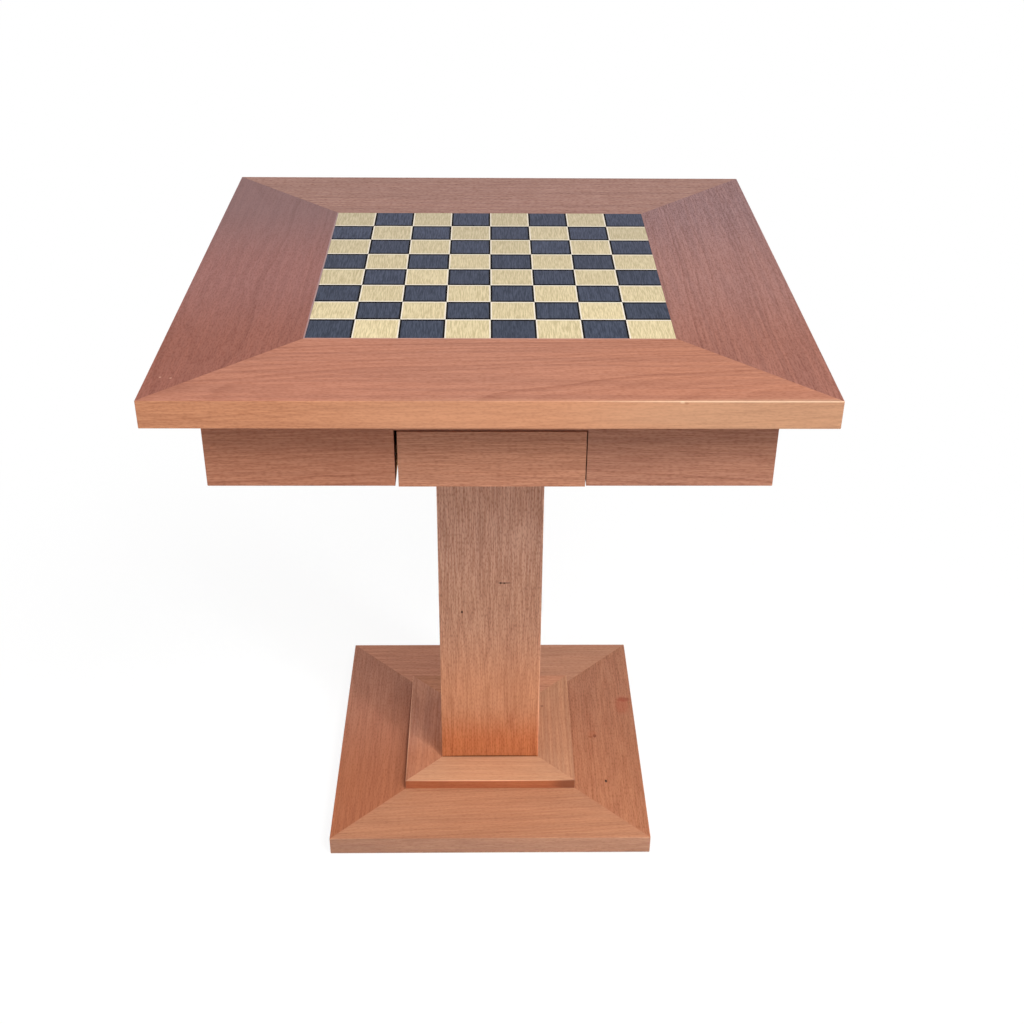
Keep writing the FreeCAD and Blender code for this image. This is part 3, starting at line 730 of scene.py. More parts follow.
@dataclass(frozen=True)
class ZincSteel(Speckled):
    """Zinc-plated steel: pale blue-grey crystals with rubbed, slightly yellow patches.

    Attributes:
        patch: Size of a rubbed patch, mm.
    """

    name: str = "zinc_plated_steel"
    tone: str = "#b9bcc0"
    fleck: str = "#a59f86"
    levels: tuple[float, float] = (0.45, 0.75)
    weight: float = 0.7
    grit: float = 0.9
    gloss: tuple[float, float] = (0.26, 0.42)
    relief: float = 0.01
    bump: float = 0.4
    patch: float = 7.0

    def material(self) -> bpy.types.Material:
        """Makes the finish from small crystal cells and soft stains.

        Returns:
            The material.
        """
        shader, material = Shader.for_material(self.name)
        place = shader.add("TexCoord", out="Object")
        crystal = shader.add("TexVoronoi", {"Vector": place, "Scale": 1 / (self.grit * MM)}, out="Color")
        grey = shader.add("SeparateColor", {0: crystal}, out="Red")
        stain = shader.add("TexNoise", {"Vector": place, "Scale": 1 / (self.patch * MM), "Detail": 3.0})
        self.lay(shader, stain, grey, {"Metallic": 1.0})
        return material


@dataclass(frozen=True)
class WoolFelt(Speckled):
    """Pressed wool felt: matted fibres, drawn coarser than the real ones so that they show.

    Attributes:
        twist: How far the noise is bent into hairs.
        sheen: Light that the fibres catch at a low angle.
    """

    name: str = "pressed_wool_felt"
    tone: str = "#2f2b29"
    fleck: str = "#57504a"
    levels: tuple[float, float] = (0.42, 0.66)
    weight: float = 1.0
    grit: float = 0.8
    gloss: tuple[float, float] = (0.85, 1.0)
    relief: float = 0.25
    bump: float = 0.8
    twist: float = 2.5
    sheen: float = 0.25

    def material(self) -> bpy.types.Material:
        """Makes the finish from twisted noise.

        Returns:
            The material.
        """
        shader, material = Shader.for_material(self.name)
        place = shader.add("TexCoord", out="Object")
        hairs = shader.add("TexNoise", {
            "Vector": place, "Scale": 1 / (self.grit * MM), "Detail": 4.0, "Distortion": self.twist,
        })
        self.lay(shader, hairs, hairs, {"Sheen Weight": self.sheen})
        return material


# Close-grained red-brown hardwood, planed and sprayed with satin lacquer: soft ring lines, short dark
# pores that run with the grain, and a broad grey sheen at a low angle
CHERRY = Timber("lacquered_cherry")
# The same wood from a straighter trunk for all but the top, with longer and finer fibres
STRAIGHT_CHERRY = Timber("lacquered_straight_cherry", streak=(34.0, 1.35), pore=(5.5, 1.45))
# Straight beech, planed and left bare: pale pink-brown with short dark flecks, dull
BEECH = Timber("bare_beech", ring=3.2, streak=(30.0, 1.6), pore=(5.0, 0.9), late=0.25, fibre=0.25,
               pores=0.40, wear_and_highlight=0.0, roughness=0.62, relief=0.08)
# Sawn pine for the parts out of sight: wide yellow rings with strong orange lines, rough
PINE = Timber("sawn_pine", ring=6.5, streak=(60.0, 1.8), pore=(9.0, 0.7), late=0.75, fibre=0.20,
              pores=0.12, wear_and_highlight=0.0, roughness=0.74, relief=0.12)
# Ash veneer under lacquer, pale straw with fine grey fibres
# Its rear tone is painted darker, for light that falls off towards the rear
PALE_ASH = SquareVeneer("lacquered_pale_ash", tone="#e6d4aa", rear_tone_with_painted_light="#d0c1a2",
                        streak_share=(0.68, 0.66, 0.59), rim_tone="#efe4d4", rim=(2.6, 1.7), spread=0.05,
                        ior=1.3)
# The same veneer dyed through to a slate blue-black
# Its rear tone is painted paler, for sheen at a low angle
DYED_ASH = SquareVeneer("lacquered_dyed_ash", tone="#3e4556", rear_tone_with_painted_light="#474c60",
                        streak_share=(0.36, 0.38, 0.42), rim_tone="#120e0c", rim=(4.5, 2.5), spread=0.10,
                        ior=1.2)
# Birch plywood for the drawer bottoms, rotary cut, so its ring lines wander wide
PLYWOOD = Timber("birch_plywood", ring=14.0, streak=(35.0, 1.6), pore=(6.0, 0.8), late=0.30, fibre=0.18,
                 pores=0.16, wear_and_highlight=0.0, roughness=0.58, relief=0.05)


def paint(node: str, material: bpy.types.Material) -> None:
    """Gives every material slot of a CAD node the same finish."""
    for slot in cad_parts[node].material_slots:
        slot.material = material


def dress(timber: Timber, boards: Sequence[Board]) -> None:
    """Gives each board its own cut of a timber, and reports it.

    Args:
        timber: Timber that the boards are sawn from.
        boards: How each of them was sawn.
    """
    for board in boards:
        paint(board.node, timber.material(board))
        log.info("%s: %s", board.node, timber.name)


def lofted(name: str, shells: np.ndarray, capped: bool) -> bpy.types.Object:
    """Makes one mesh of shells, each a stack of closed rings.

    Neighbouring rings are joined by quads. A capped shell closes on the middle of its first and last
    ring with a fan of triangles, and an uncapped one joins its last ring to its first, as a tube does.

    Args:
        name: Name of the piece.
        shells: Points in metres, by shell, ring and place round the ring.
        capped: Whether the shells have ends.

    Returns:
        The piece, at the origin.
    """
    count, rings, around, _ = shells.shape
    index = np.arange(count * rings * around).reshape(count, rings, around)
    beside = np.roll(index, -1, axis=2)
    lower = index[:, :-1] if capped else index
    upper = index[:, 1:] if capped else np.roll(index, -1, axis=1)
    lower_beside = beside[:, :-1] if capped else beside
    upper_beside = beside[:, 1:] if capped else np.roll(beside, -1, axis=1)
    quads = np.stack([lower, lower_beside, upper_beside, upper], axis=-1).reshape(-1, 4)
    points = shells.reshape(-1, 3)
    faces = quads.tolist()
    if capped:
        middles = shells[:, [0, -1]].mean(axis=2)
        first = len(points) + 2 * np.arange(count)[:, None] + np.zeros((1, around), int)
        start_fan = np.stack([first, beside[:, 0], index[:, 0]], axis=-1).reshape(-1, 3)
        end_fan = np.stack([first + 1, index[:, -1], beside[:, -1]], axis=-1).reshape(-1, 3)
        points = np.concatenate([points, middles.reshape(-1, 3)])
        faces += start_fan.tolist() + end_fan.tolist()
    mesh = bpy.data.meshes.new(name)
    mesh.from_pydata(points.tolist(), [], faces)
    mesh.polygons.foreach_set("use_smooth", np.ones(len(mesh.polygons), bool))
    mesh.set_sharp_from_angle(angle=math.radians(SHARP_ANGLE))
    mesh.update()
    piece = bpy.data.objects.new(name, mesh)
    bpy.context.scene.collection.objects.link(piece)
    return piece


def round_rings(radii: np.ndarray, levels: np.ndarray, around: int) -> np.ndarray:
    """Carries a profile round the Z axis: a point lies at its radius and level, and at its angle.

    Args:
        radii: Radius by ring, or by ring and place round it.
        levels: Height by ring, or by ring and place round it.
        around: Number of places round a ring.

    Returns:
        Points by ring and place round it.
    """
    angle = np.linspace(0, 2 * math.pi, around, endpoint=False)
    radius = np.broadcast_to(radii if radii.ndim == 2 else radii[:, None], (len(radii), around))
    level = np.broadcast_to(levels if levels.ndim == 2 else levels[:, None], (len(levels), around))
    return np.stack([radius * np.cos(angle), radius * np.sin(angle), level], axis=-1)


def thread(levels: np.ndarray, around: int, pitch: float) -> np.ndarray:
    """Gives the height of a screw thread, from 0 in its root to 1 on its crest.

    The thread is a triangle wave of the height over the pitch less the angle over a turn, with its
    crest and root cut flat.

    Args:
        levels: Height of each ring.
        around: Number of places round a ring.
        pitch: Rise in one turn.

    Returns:
        Thread height by ring and place round it.
    """
    turn = np.arange(around) / around
    wave = np.abs(2 * np.mod(levels[:, None] / pitch - turn[None, :], 1.0) - 1)
    return np.clip(THREAD_SLOPE * wave - THREAD_DROP, 0, 1)


def solids_of(node: str) -> list[np.ndarray]:
    """Splits a CAD node into its separate solids.

    Corners at the same place are one point, and the smaller label of each triangle's points spreads
    until every solid has a single label.

    Args:
        node: Name of the CAD node.

    Returns:
        Points of each solid in mm, in a fixed order.
    """
    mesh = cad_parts[node].data
    mesh.calc_loop_triangles()
    corners = np.zeros(len(mesh.vertices) * 3, np.float32)
    mesh.vertices.foreach_get("co", corners)
    triangles = np.zeros(len(mesh.loop_triangles) * 3, np.int32)
    mesh.loop_triangles.foreach_get("vertices", triangles)
    places, merged = np.unique(np.round(corners.reshape(-1, 3) / MM, 3), axis=0, return_inverse=True)
    triangles = merged.reshape(-1)[triangles].reshape(-1, 3)
    label = np.arange(len(places))
    while True:
        lowest = label[triangles].min(axis=1)
        spread = label.copy()
        np.minimum.at(spread, triangles.ravel(), np.repeat(lowest, 3))
        if np.array_equal(spread, label):
            break
        label = spread
    return [places[label == one] for one in np.unique(label)]


@dataclass
class WoodScrew:
    """Countersunk wood screw with a cross recess, a rolled thread and a point.

    Attributes:
        pitch: Rise of the thread in one turn, as a share of the shank's diameter.
        core: Root of the thread as a share of the shank's radius.
        recess: Half width and half length of the recess, as shares of the head's radius.
        recess_depth: Depth of the recess as a share of the head's radius.
        around: Places round the screw.
        per_turn: Rings in one turn of the thread.
    """

    pitch: float = 0.5
    core: float = 0.72
    recess: tuple[float, float] = (0.14, 0.56)
    recess_depth: float = 0.55
    around: int = 20
    per_turn: int = 4

    # Rings of the head's face, as shares of its radius
    FACE = (0.04, 0.10, 0.17, 0.26, 0.38, 0.48, 0.58, 0.66, 0.80, 0.97)
    # Run of the recess's side and end walls, and where its sloping floor would come up, of the same radius
    WALLS = (0.05, 0.08)
    FLOOR_END = 1.25
    # Depth of the head's widest ring, mm, and radius and depth of the next, of the head's radius
    RIM_DEPTH = 0.12
    FLANK = (0.94, 0.10)
    # Where the thread ends, and radius and distance from the end of the point's rings, of the shank's radius
    THREAD_END = 1.2
    TAPER = (0.55, 0.7)
    TIP = 0.12
    # Points nearer to the axis than this are middles of the CAD screw's ends, mm
    AXIS_REACH = 0.2

    def shell(self, solid: np.ndarray) -> np.ndarray:
        """Works out a screw in the place of a CAD solid.

        The solid's longest side gives the axis, and the end with the wider points has the head.

        Args:
            solid: Points of the CAD screw, mm.

        Returns:
            Rings from the head's middle to the point, in metres.
        """
        low, high = solid.min(axis=0), solid.max(axis=0)
        axis = int(np.argmax(high - low))
        middle = (low + high) / 2
        others = [i for i in range(3) if i != axis]
        reach = np.hypot(solid[:, others[0]] - middle[others[0]], solid[:, others[1]] - middle[others[1]])
        head_high = reach[solid[:, axis] > middle[axis]].max() > reach[solid[:, axis] < middle[axis]].max()
        length = high[axis] - low[axis]
        head = float(reach.max())
        steps = np.unique(reach.round(2))
        shank = float(steps[steps > self.AXIS_REACH][0])
        rings = self.rings(head, shank, length)
        across = np.eye(3)[others[0]]
        inward = np.eye(3)[axis] * (-1 if head_high else 1)
        start = middle.copy()
        start[axis] = high[axis] if head_high else low[axis]
        turned = np.stack([across, np.cross(inward, across), inward])
        return (rings @ turned + start) * MM

    def rings(self, head: float, shank: float, length: float) -> np.ndarray:
        """Lays out the rings of a screw that stands on its head, with its axis along Z.

        The recess lowers the head's face by a smooth step of the distance from two crossed bars. The
        flank is a cone down to the shank, the thread rides on the core, and the last rings taper.

        Args:
            head: Radius of the head, mm.
            shank: Radius of the thread's crest, mm.
            length: Whole length, mm.

        Returns:
            Points by ring and place round it, mm.
        """
        angle = np.linspace(0, 2 * math.pi, self.around, endpoint=False)
        face = head * np.array(self.FACE)
        x = np.abs(face[:, None] * np.cos(angle)) / head
        y = np.abs(face[:, None] * np.sin(angle)) / head
        half_width, half_length = self.recess
        side_wall, end_wall = self.WALLS
        bar_x = np.maximum((y - half_width) / side_wall, (x - half_length) / end_wall)
        bar_y = np.maximum((x - half_width) / side_wall, (y - half_length) / end_wall)
        sunk = np.clip(1 - np.minimum(bar_x, bar_y), 0, 1)
        face_level = self.recess_depth * head * sunk * np.clip(self.FLOOR_END - np.hypot(x, y), 0, 1)
        cone = head - shank
        pitch = self.pitch * 2 * shank
        levels = np.arange(cone + 0.5 * pitch, length - self.THREAD_END * shank, pitch / self.per_turn)
        crest = shank * (self.core + (1 - self.core) * thread(levels, self.around, pitch))
        flank_radius, flank_depth = (share * head for share in self.FLANK)
        taper_radius, taper_length = (share * shank for share in self.TAPER)
        ring = np.ones((1, self.around))
        radii = [face[:, None] * ring, head * ring, flank_radius * ring, shank * ring,
                 crest, taper_radius * ring, self.TIP * shank * ring]
        heights = [face_level, self.RIM_DEPTH * ring, flank_depth * ring, cone * ring,
                   levels[:, None] * ring, (length - taper_length) * ring, length * ring]
        return round_rings(np.concatenate(radii), np.concatenate(heights), self.around)

    def build(self, node: str, body: str) -> bpy.types.Object:
        """Makes the screws that stand for one CAD node.

        Args:
            node: CAD node of plain screws.
            body: Body that they ride on.

        Returns:
            One piece with all of them.
        """
        shells = np.stack([self.shell(solid) for solid in solids_of(node)])
        return fitted(lofted(f"{node}_threaded", shells, capped=True), body, node)


def fitted(piece: bpy.types.Object, body: str, node: str) -> bpy.types.Object:
    """Lets a new piece ride on its body and stand for a CAD node, which it hides.

    Args:
        piece: New piece, in place.
        body: CAD body that it moves with.
        node: CAD node that it replaces.

    Returns:
        The same piece.
    """
    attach(piece, body)
    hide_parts(node)
    log.info("%s: stands for %s", piece.name, node)
    return piece


def finish_piece(piece: bpy.types.Object, material: bpy.types.Material) -> None:
    """Gives a new piece its material."""
    piece.data.materials.append(material)


@dataclass
class Top:
    """Mitred border boards round the inlaid playing board.

    Attributes:
        boards: How the border's boards were sawn.
    """

    boards: tuple[Board, ...] = (
        Board("top_board_front", Grain.ALONG_X, (
            (-210.0, "#af735c", 0.6), (0.0, "#ae755e", 0.6), (210.0, "#ae735a", 0.6),
        ), heart=(-345.0, 630.0), slope=0.07, rings=1.3, edge="#ba7f5d", edge_figure=0.6, marks=(
            # Painted light and sheen: broad paler areas on the front edge, greyest towards the right
            Mark((330.0, -350.0, 735.0), (300.0, 8.0, 40.0), "#bba788", 0.25),
            Mark((20.0, -350.0, 735.0), (260.0, 8.0, 40.0), "#d39e7b", 0.25),
            Mark((189.0, -350.0, 749.0), (3.2, 1.6, 2.0), "#efcfae", 0.4),
            # Painted shadow beside the pale nick in the arris
            Mark((193.5, -350.0, 747.5), (2.6, 1.6, 1.6), "#8a5338", 0.4),
            # Painted highlight along the front arris
            Mark((270.0, -350.0, 750.0), (230.0, 1.5, 1.5), "#f2cfae", 0.55),
            Mark((0.0, -201.0, 750.0), (420.0, 1.8, 2.0), "#c9a198", 0.45),
        )),
        Board("top_board_rear", Grain.ALONG_X, "#a27a6e", heart=(420.0, 600.0), slope=-0.04),
        # Tone stops with painted light: paler in the middle and purple-grey towards the rear, for sheen and
        # falling light, over the board's own tone
        Board("top_board_left", Grain.ALONG_Y, (
            (-230.0, "#8f5647", 0.65), (-17.0, "#93615a", 0.6), (235.0, "#815d5b", 0.37),
        ), heart=(310.0, 640.0), slope=0.02, rings=0.9, bands=0.5, marks=(
            Mark((-200.8, 0.0, 750.0), (1.5, 420.0, 2.0), "#b09a9c", 0.55),
            Mark((-335.0, -297.0, 750.0), (1.6, 2.2, 2.0), "#cf9d86", 0.6),
            Mark((-324.0, -299.0, 750.0), (1.6, 2.2, 2.0), "#cf9d86", 0.6),
        )),
        # Tone stops with painted light: purple-grey towards the rear, for sheen and falling light, over the
        # board's own tone
        Board("top_board_right", Grain.ALONG_Y, (
            (-230.0, "#935f51", 0.75), (-17.0, "#996c64", 0.77), (235.0, "#936f6e", 1.05),
        ), heart=(-720.0, 540.0), slope=-0.03, rings=1.2),
    )

    def build(self) -> None:
        """Dresses the border, the squares, and the panel and tongues under them."""
        dress(CHERRY, self.boards)
        paint("light_squares", PALE_ASH.material())
        paint("dark_squares", DYED_ASH.material())
        paint("board_panel", Fibreboard().material())
        dress(BEECH, [Board("top_mitre_tongues", Grain.ALONG_X, "#c39a72", heart=(0.0, 600.0))])
        log.info("inlaid board: %s and %s on %s", PALE_ASH.name, DYED_ASH.name, Fibreboard.name)


@dataclass
class Apron:
    """Boards round the drawers, with glued blocks in the corners.

    Attributes:
        left_tone: Colour of the panels left of the drawers, and of the rails over them.
        right_tone: Colour of the panels right of the drawers.
        end_tone: Colour of the boards without a drawer.
    """

    left_tone: str = "#aa7258"
    right_tone: str = "#a8755e"
    end_tone: str = "#9a6a56"

    def build(self) -> None:
        """Dresses the apron's boards and its corner blocks."""
        fronts = [
            Board(f"apron_{side}_{part}", Grain.ALONG_X, tone, heart=(heart, 560.0), slope=slope,
                  bands=0.6, contrast=0.9)
            for side, heart in (("front", -330.0), ("rear", 330.0))
            for part, tone, slope in (("left", self.left_tone, 0.05), ("right", self.right_tone, -0.045),
                                      ("rail", self.left_tone, 0.02))
        ]
        ends = [
            Board(f"apron_{side}", Grain.ALONG_Y, self.end_tone, heart=(heart, 560.0), slope=0.03)
            for side, heart in (("left", 330.0), ("right", -330.0))
        ]
        dress(STRAIGHT_CHERRY, fronts + ends)
        dress(PINE, [Board("corner_blocks", Grain.ALONG_Z, "#c9a273", heart=(0.0, 40.0))])


@dataclass
class SubFrame:
    """Bearers, cheeks and runners under the top, with their screws and dowels.

    Attributes:
        steel: Finish of the screws.
    """

    steel: bpy.types.Material

    def build(self) -> None:
        """Dresses the timbers and builds the screws."""
        dress(PINE, [
            Board("bearer_across", Grain.ALONG_X, "#c79f6f", heart=(30.0, 640.0), slope=0.015),
            Board("bearer_along", Grain.ALONG_Y, "#cba577", heart=(-25.0, 630.0), slope=0.02),
            Board("drawer_cheek_left", Grain.ALONG_Y, "#c49c6e", heart=(150.0, 600.0), slope=0.02),
            Board("drawer_cheek_right", Grain.ALONG_Y, "#c8a174", heart=(-160.0, 590.0), slope=0.02),
        ])
        dress(BEECH, [
            Board("front_drawer_runners", Grain.ALONG_Y, "#c59a70", heart=(0.0, 620.0)),
            Board("rear_drawer_runners", Grain.ALONG_Y, "#c79d74", heart=(0.0, 615.0)),
            Board("dowels", Grain.ALONG_X, "#cba67c", heart=(0.0, 600.0)),
        ])
        for node in ("frame_screws", "runner_screws"):
            finish_piece(WoodScrew().build(node, TABLE_BODY), self.steel)


@dataclass
class Drawer:
    """Drawer with a lacquered front, dovetailed beech sides and a plywood bottom.

    Attributes:
        body: CAD body of the drawer, which its nodes are named for.
        steel: Finish of the screws.
        face_tone: Colour of the lacquered front.
        side_tone: Colour of the sides and back.
        bottom_tone: Colour of the bottom.
    """

    body: str
    steel: bpy.types.Material
    face_tone: str = "#b27c61"
    side_tone: str = "#cfa981"
    bottom_tone: str = "#d2b184"

    def build(self) -> None:
        """Dresses the drawer's boards and builds the screws of its bottom."""
        dress(STRAIGHT_CHERRY, [
            Board(f"{self.body}_panel", Grain.ALONG_X, self.face_tone, heart=(-300.0, 520.0), slope=0.02,
                  bands=0.6, contrast=0.9),
        ])
        dress(BEECH, [
            Board(f"{self.body}_side_left", Grain.ALONG_Y, self.side_tone, heart=(160.0, 610.0)),
            Board(f"{self.body}_side_right", Grain.ALONG_Y, self.side_tone, heart=(-150.0, 600.0)),
            Board(f"{self.body}_back", Grain.ALONG_X, self.side_tone, heart=(-60.0, 600.0)),
        ])
        dress(PLYWOOD, [Board(f"{self.body}_bottom", Grain.ALONG_X, self.bottom_tone, heart=(0.0, 590.0),
                              slope=0.06)])
        finish_piece(WoodScrew().build(f"{self.body}_bottom_screws", self.body), self.steel)


@dataclass
class Column:
    """Hollow column of four mitred staves, clamped by a tie rod through its blocks.

    Attributes:
        steel: Finish of the hardware.
        pitch: Thread pitch of the tie rod, mm.
        threaded: Length of thread at each end of the rod, mm.
        thread_depth: Depth of that thread, mm.
        thread_run: Length over which that thread fades out, mm.
        rod_chamfer: Chamfer of the rod's ends, mm.
        flats: Nut's width across its flats, mm.
        around: Places round the turned pieces.
        per_turn: Rings in one turn of the rod's thread.
        tone: Colour of the staves, from the foot up, with painted light: saturated orange at the foot for
            bounce light off the base, paler towards the top to offset the shade under the table top.
        marks: Marks of the front stave.
        staves: Side of each stave and the place of its log's heart, mm.
    """

    steel: bpy.types.Material
    pitch: float = 1.5
    threaded: float = 45.0
    thread_depth: float = 0.9
    thread_run: float = 6.0
    rod_chamfer: float = 1.2
    flats: float = 17.0
    around: int = 48
    per_turn: int = 6
    # Painted light: orange at the foot for bounce light, paler at the top against the shade under the top
    tone: Tone = (
        (64.0, "#b16942", 1.0), (145.0, "#b27b5b", 0.85), (297.0, "#ac8068", 1.25), (442.0, "#c2957f", 1.3),
    )
    marks: tuple[Mark, ...] = (
        Mark((19.0, -68.0, 341.4), (12.0, 2.0, 1.2), "#4a2a20", 0.85),
        Mark((13.5, -68.0, 341.4), (2.2, 2.0, 1.9), "#2e1712", 0.95),
        Mark((18.5, -68.0, 341.2), (1.8, 2.0, 1.7), "#2e1712", 0.9),
        Mark((-37.6, -68.0, 294.9), (1.9, 2.0, 3.0), "#2e1712", 0.95),
        # Painted highlight along the column's right arris
        Mark((68.0, -68.0, 130.0), (1.7, 1.7, 110.0), "#e6b393", 0.7),
        # Dark joint line at the column's foot, deepened by painted contact shade
        Mark((0.0, -68.0, 43.0), (110.0, 3.0, 3.4), "#43200f", 0.85),
    )
    staves: tuple[tuple[str, float, float], ...] = (
        ("front", -150.0, -30.0), ("rear", 150.0, -50.0), ("left", -60.0, 150.0), ("right", 40.0, -140.0),
    )

    # Levels of a nut's rings above its faces, mm, its face's radius over its flats, and the cone's slope
    NUT_RISE = (0.0, 0.3, 0.6, 0.9, 1.2)
    NUT_FACE = 0.475
    NUT_CONE = math.radians(60)
    # Width and depth of the chamfer of a nut's bore, mm
    BORE_CHAMFER = (0.6, 0.7)
    # Rolled edge of a washer, its burr below, and the eased arrises of its bore below and above, mm
    WASHER_ROLL = 0.8
    WASHER_BURR = 0.15
    WASHER_BORE = (0.2, 0.3)
    ROLL_STEPS = 5

    def build(self) -> None:
        """Dresses the staves and blocks, and builds the rod with its nuts and washers."""
        dress(STRAIGHT_CHERRY, [
            Board(f"column_{side}", Grain.ALONG_Z, self.tone, heart=(y, z), slope=0.015, rings=0.55,
                  bands=0.3, marks=self.marks if side == "front" else ())
            for side, y, z in self.staves
        ])
        dress(PINE, [
            Board("column_head_block", Grain.ALONG_X, "#c8a175", heart=(20.0, 600.0)),
            Board("column_foot_block", Grain.ALONG_X, "#c59d70", heart=(-20.0, -40.0)),
        ])
        for piece in (self.rod(), self.nuts(), self.washers()):
            finish_piece(piece, self.steel)

    def rod(self) -> bpy.types.Object:
        """Turns the tie rod: a plain shank with a rolled thread that fades in towards each end.

        Returns:
            The rod, in place of its CAD node.
        """
        low, high = (np.array(corner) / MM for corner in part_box("tie_rod"))
        radius = (high[0] - low[0]) / 2
        step = self.pitch / self.per_turn
        lower = np.arange(low[2], low[2] + self.threaded, step)
        upper = np.arange(high[2] - self.threaded, high[2] + step / 2, step)
        levels = np.concatenate([lower, upper])
        from_end = np.minimum(levels - low[2], high[2] - levels)
        fade = np.clip((self.threaded - from_end) / self.thread_run, 0, 1)
        groove = (1 - thread(levels, self.around, self.pitch)) * self.thread_depth * fade[:, None]
        chamfer = np.clip(self.rod_chamfer - from_end, 0, None)
        rings = round_rings(radius - np.maximum(groove, chamfer[:, None]), levels, self.around)
        return fitted(lofted("tie_rod_threaded", rings[None] * MM, capped=True), TABLE_BODY,
                      "tie_rod")

    def nuts(self) -> bpy.types.Object:
        """Makes the hexagon nuts.

        A nut's radius is half its flats over the cosine of the angle from the nearest flat, cut back
        by a cone at both faces, and the inner rings follow the bore.

        Returns:
            Both nuts, in place of their CAD node.
        """
        angle = np.linspace(0, 2 * math.pi, self.around, endpoint=False)
        sector = math.pi / 3
        from_flat = np.mod(angle + sector / 2, sector) - sector / 2
        hexagon = self.flats / 2 / np.cos(from_flat)
        rise = np.array(self.NUT_RISE)
        width, depth = self.BORE_CHAMFER
        shells = []
        for solid in solids_of("tie_rod_nuts"):
            low, high = solid[:, 2].min(), solid[:, 2].max()
            bore = np.hypot(solid[:, 0], solid[:, 1]).min()
            levels = np.concatenate([low + rise, high - rise[::-1]])
            from_face = np.minimum(levels - low, high - levels)
            cone = self.NUT_FACE * self.flats + from_face * math.tan(self.NUT_CONE)
            outer = np.minimum(hexagon[None, :], cone[:, None])
            inner_levels = np.array([high, high - depth, low + depth, low])
            inner = np.array([bore + width, bore, bore, bore + width])[:, None] * np.ones(self.around)
            radii = np.concatenate([outer, inner])
            shells.append(round_rings(radii, np.concatenate([levels, inner_levels]), self.around) * MM)
        return fitted(lofted("tie_rod_nuts_chamfered", np.stack(shells), capped=False), TABLE_BODY,
                      "tie_rod_nuts")

    def washers(self) -> bpy.types.Object:
        """Stamps the washers: flat rings whose upper outer edge is rolled over by the die.

        Returns:
            Both washers, in place of their CAD node.
        """
        turn = np.linspace(0, math.pi / 2, self.ROLL_STEPS)
        roll = self.WASHER_ROLL
        burr = self.WASHER_BURR
        eased_below, eased_above = self.WASHER_BORE
        shells = []
        for solid in solids_of("tie_rod_washers"):
            low, high = solid[:, 2].min(), solid[:, 2].max()
            reach = np.hypot(solid[:, 0], solid[:, 1])
            bore, rim = reach.min(), reach.max()
            radii = np.concatenate([[bore + eased_below, rim - burr, rim], rim - roll + roll * np.cos(turn),
                                    [bore + eased_above, bore, bore]])
            levels = np.concatenate([[low, low, low + burr], high - roll + roll * np.sin(turn),
                                     [high, high - eased_above, low + eased_below]])
            shells.append(round_rings(radii, levels, self.around) * MM)
        return fitted(lofted("tie_rod_washers_stamped", np.stack(shells), capped=False), TABLE_BODY,
                      "tie_rod_washers")


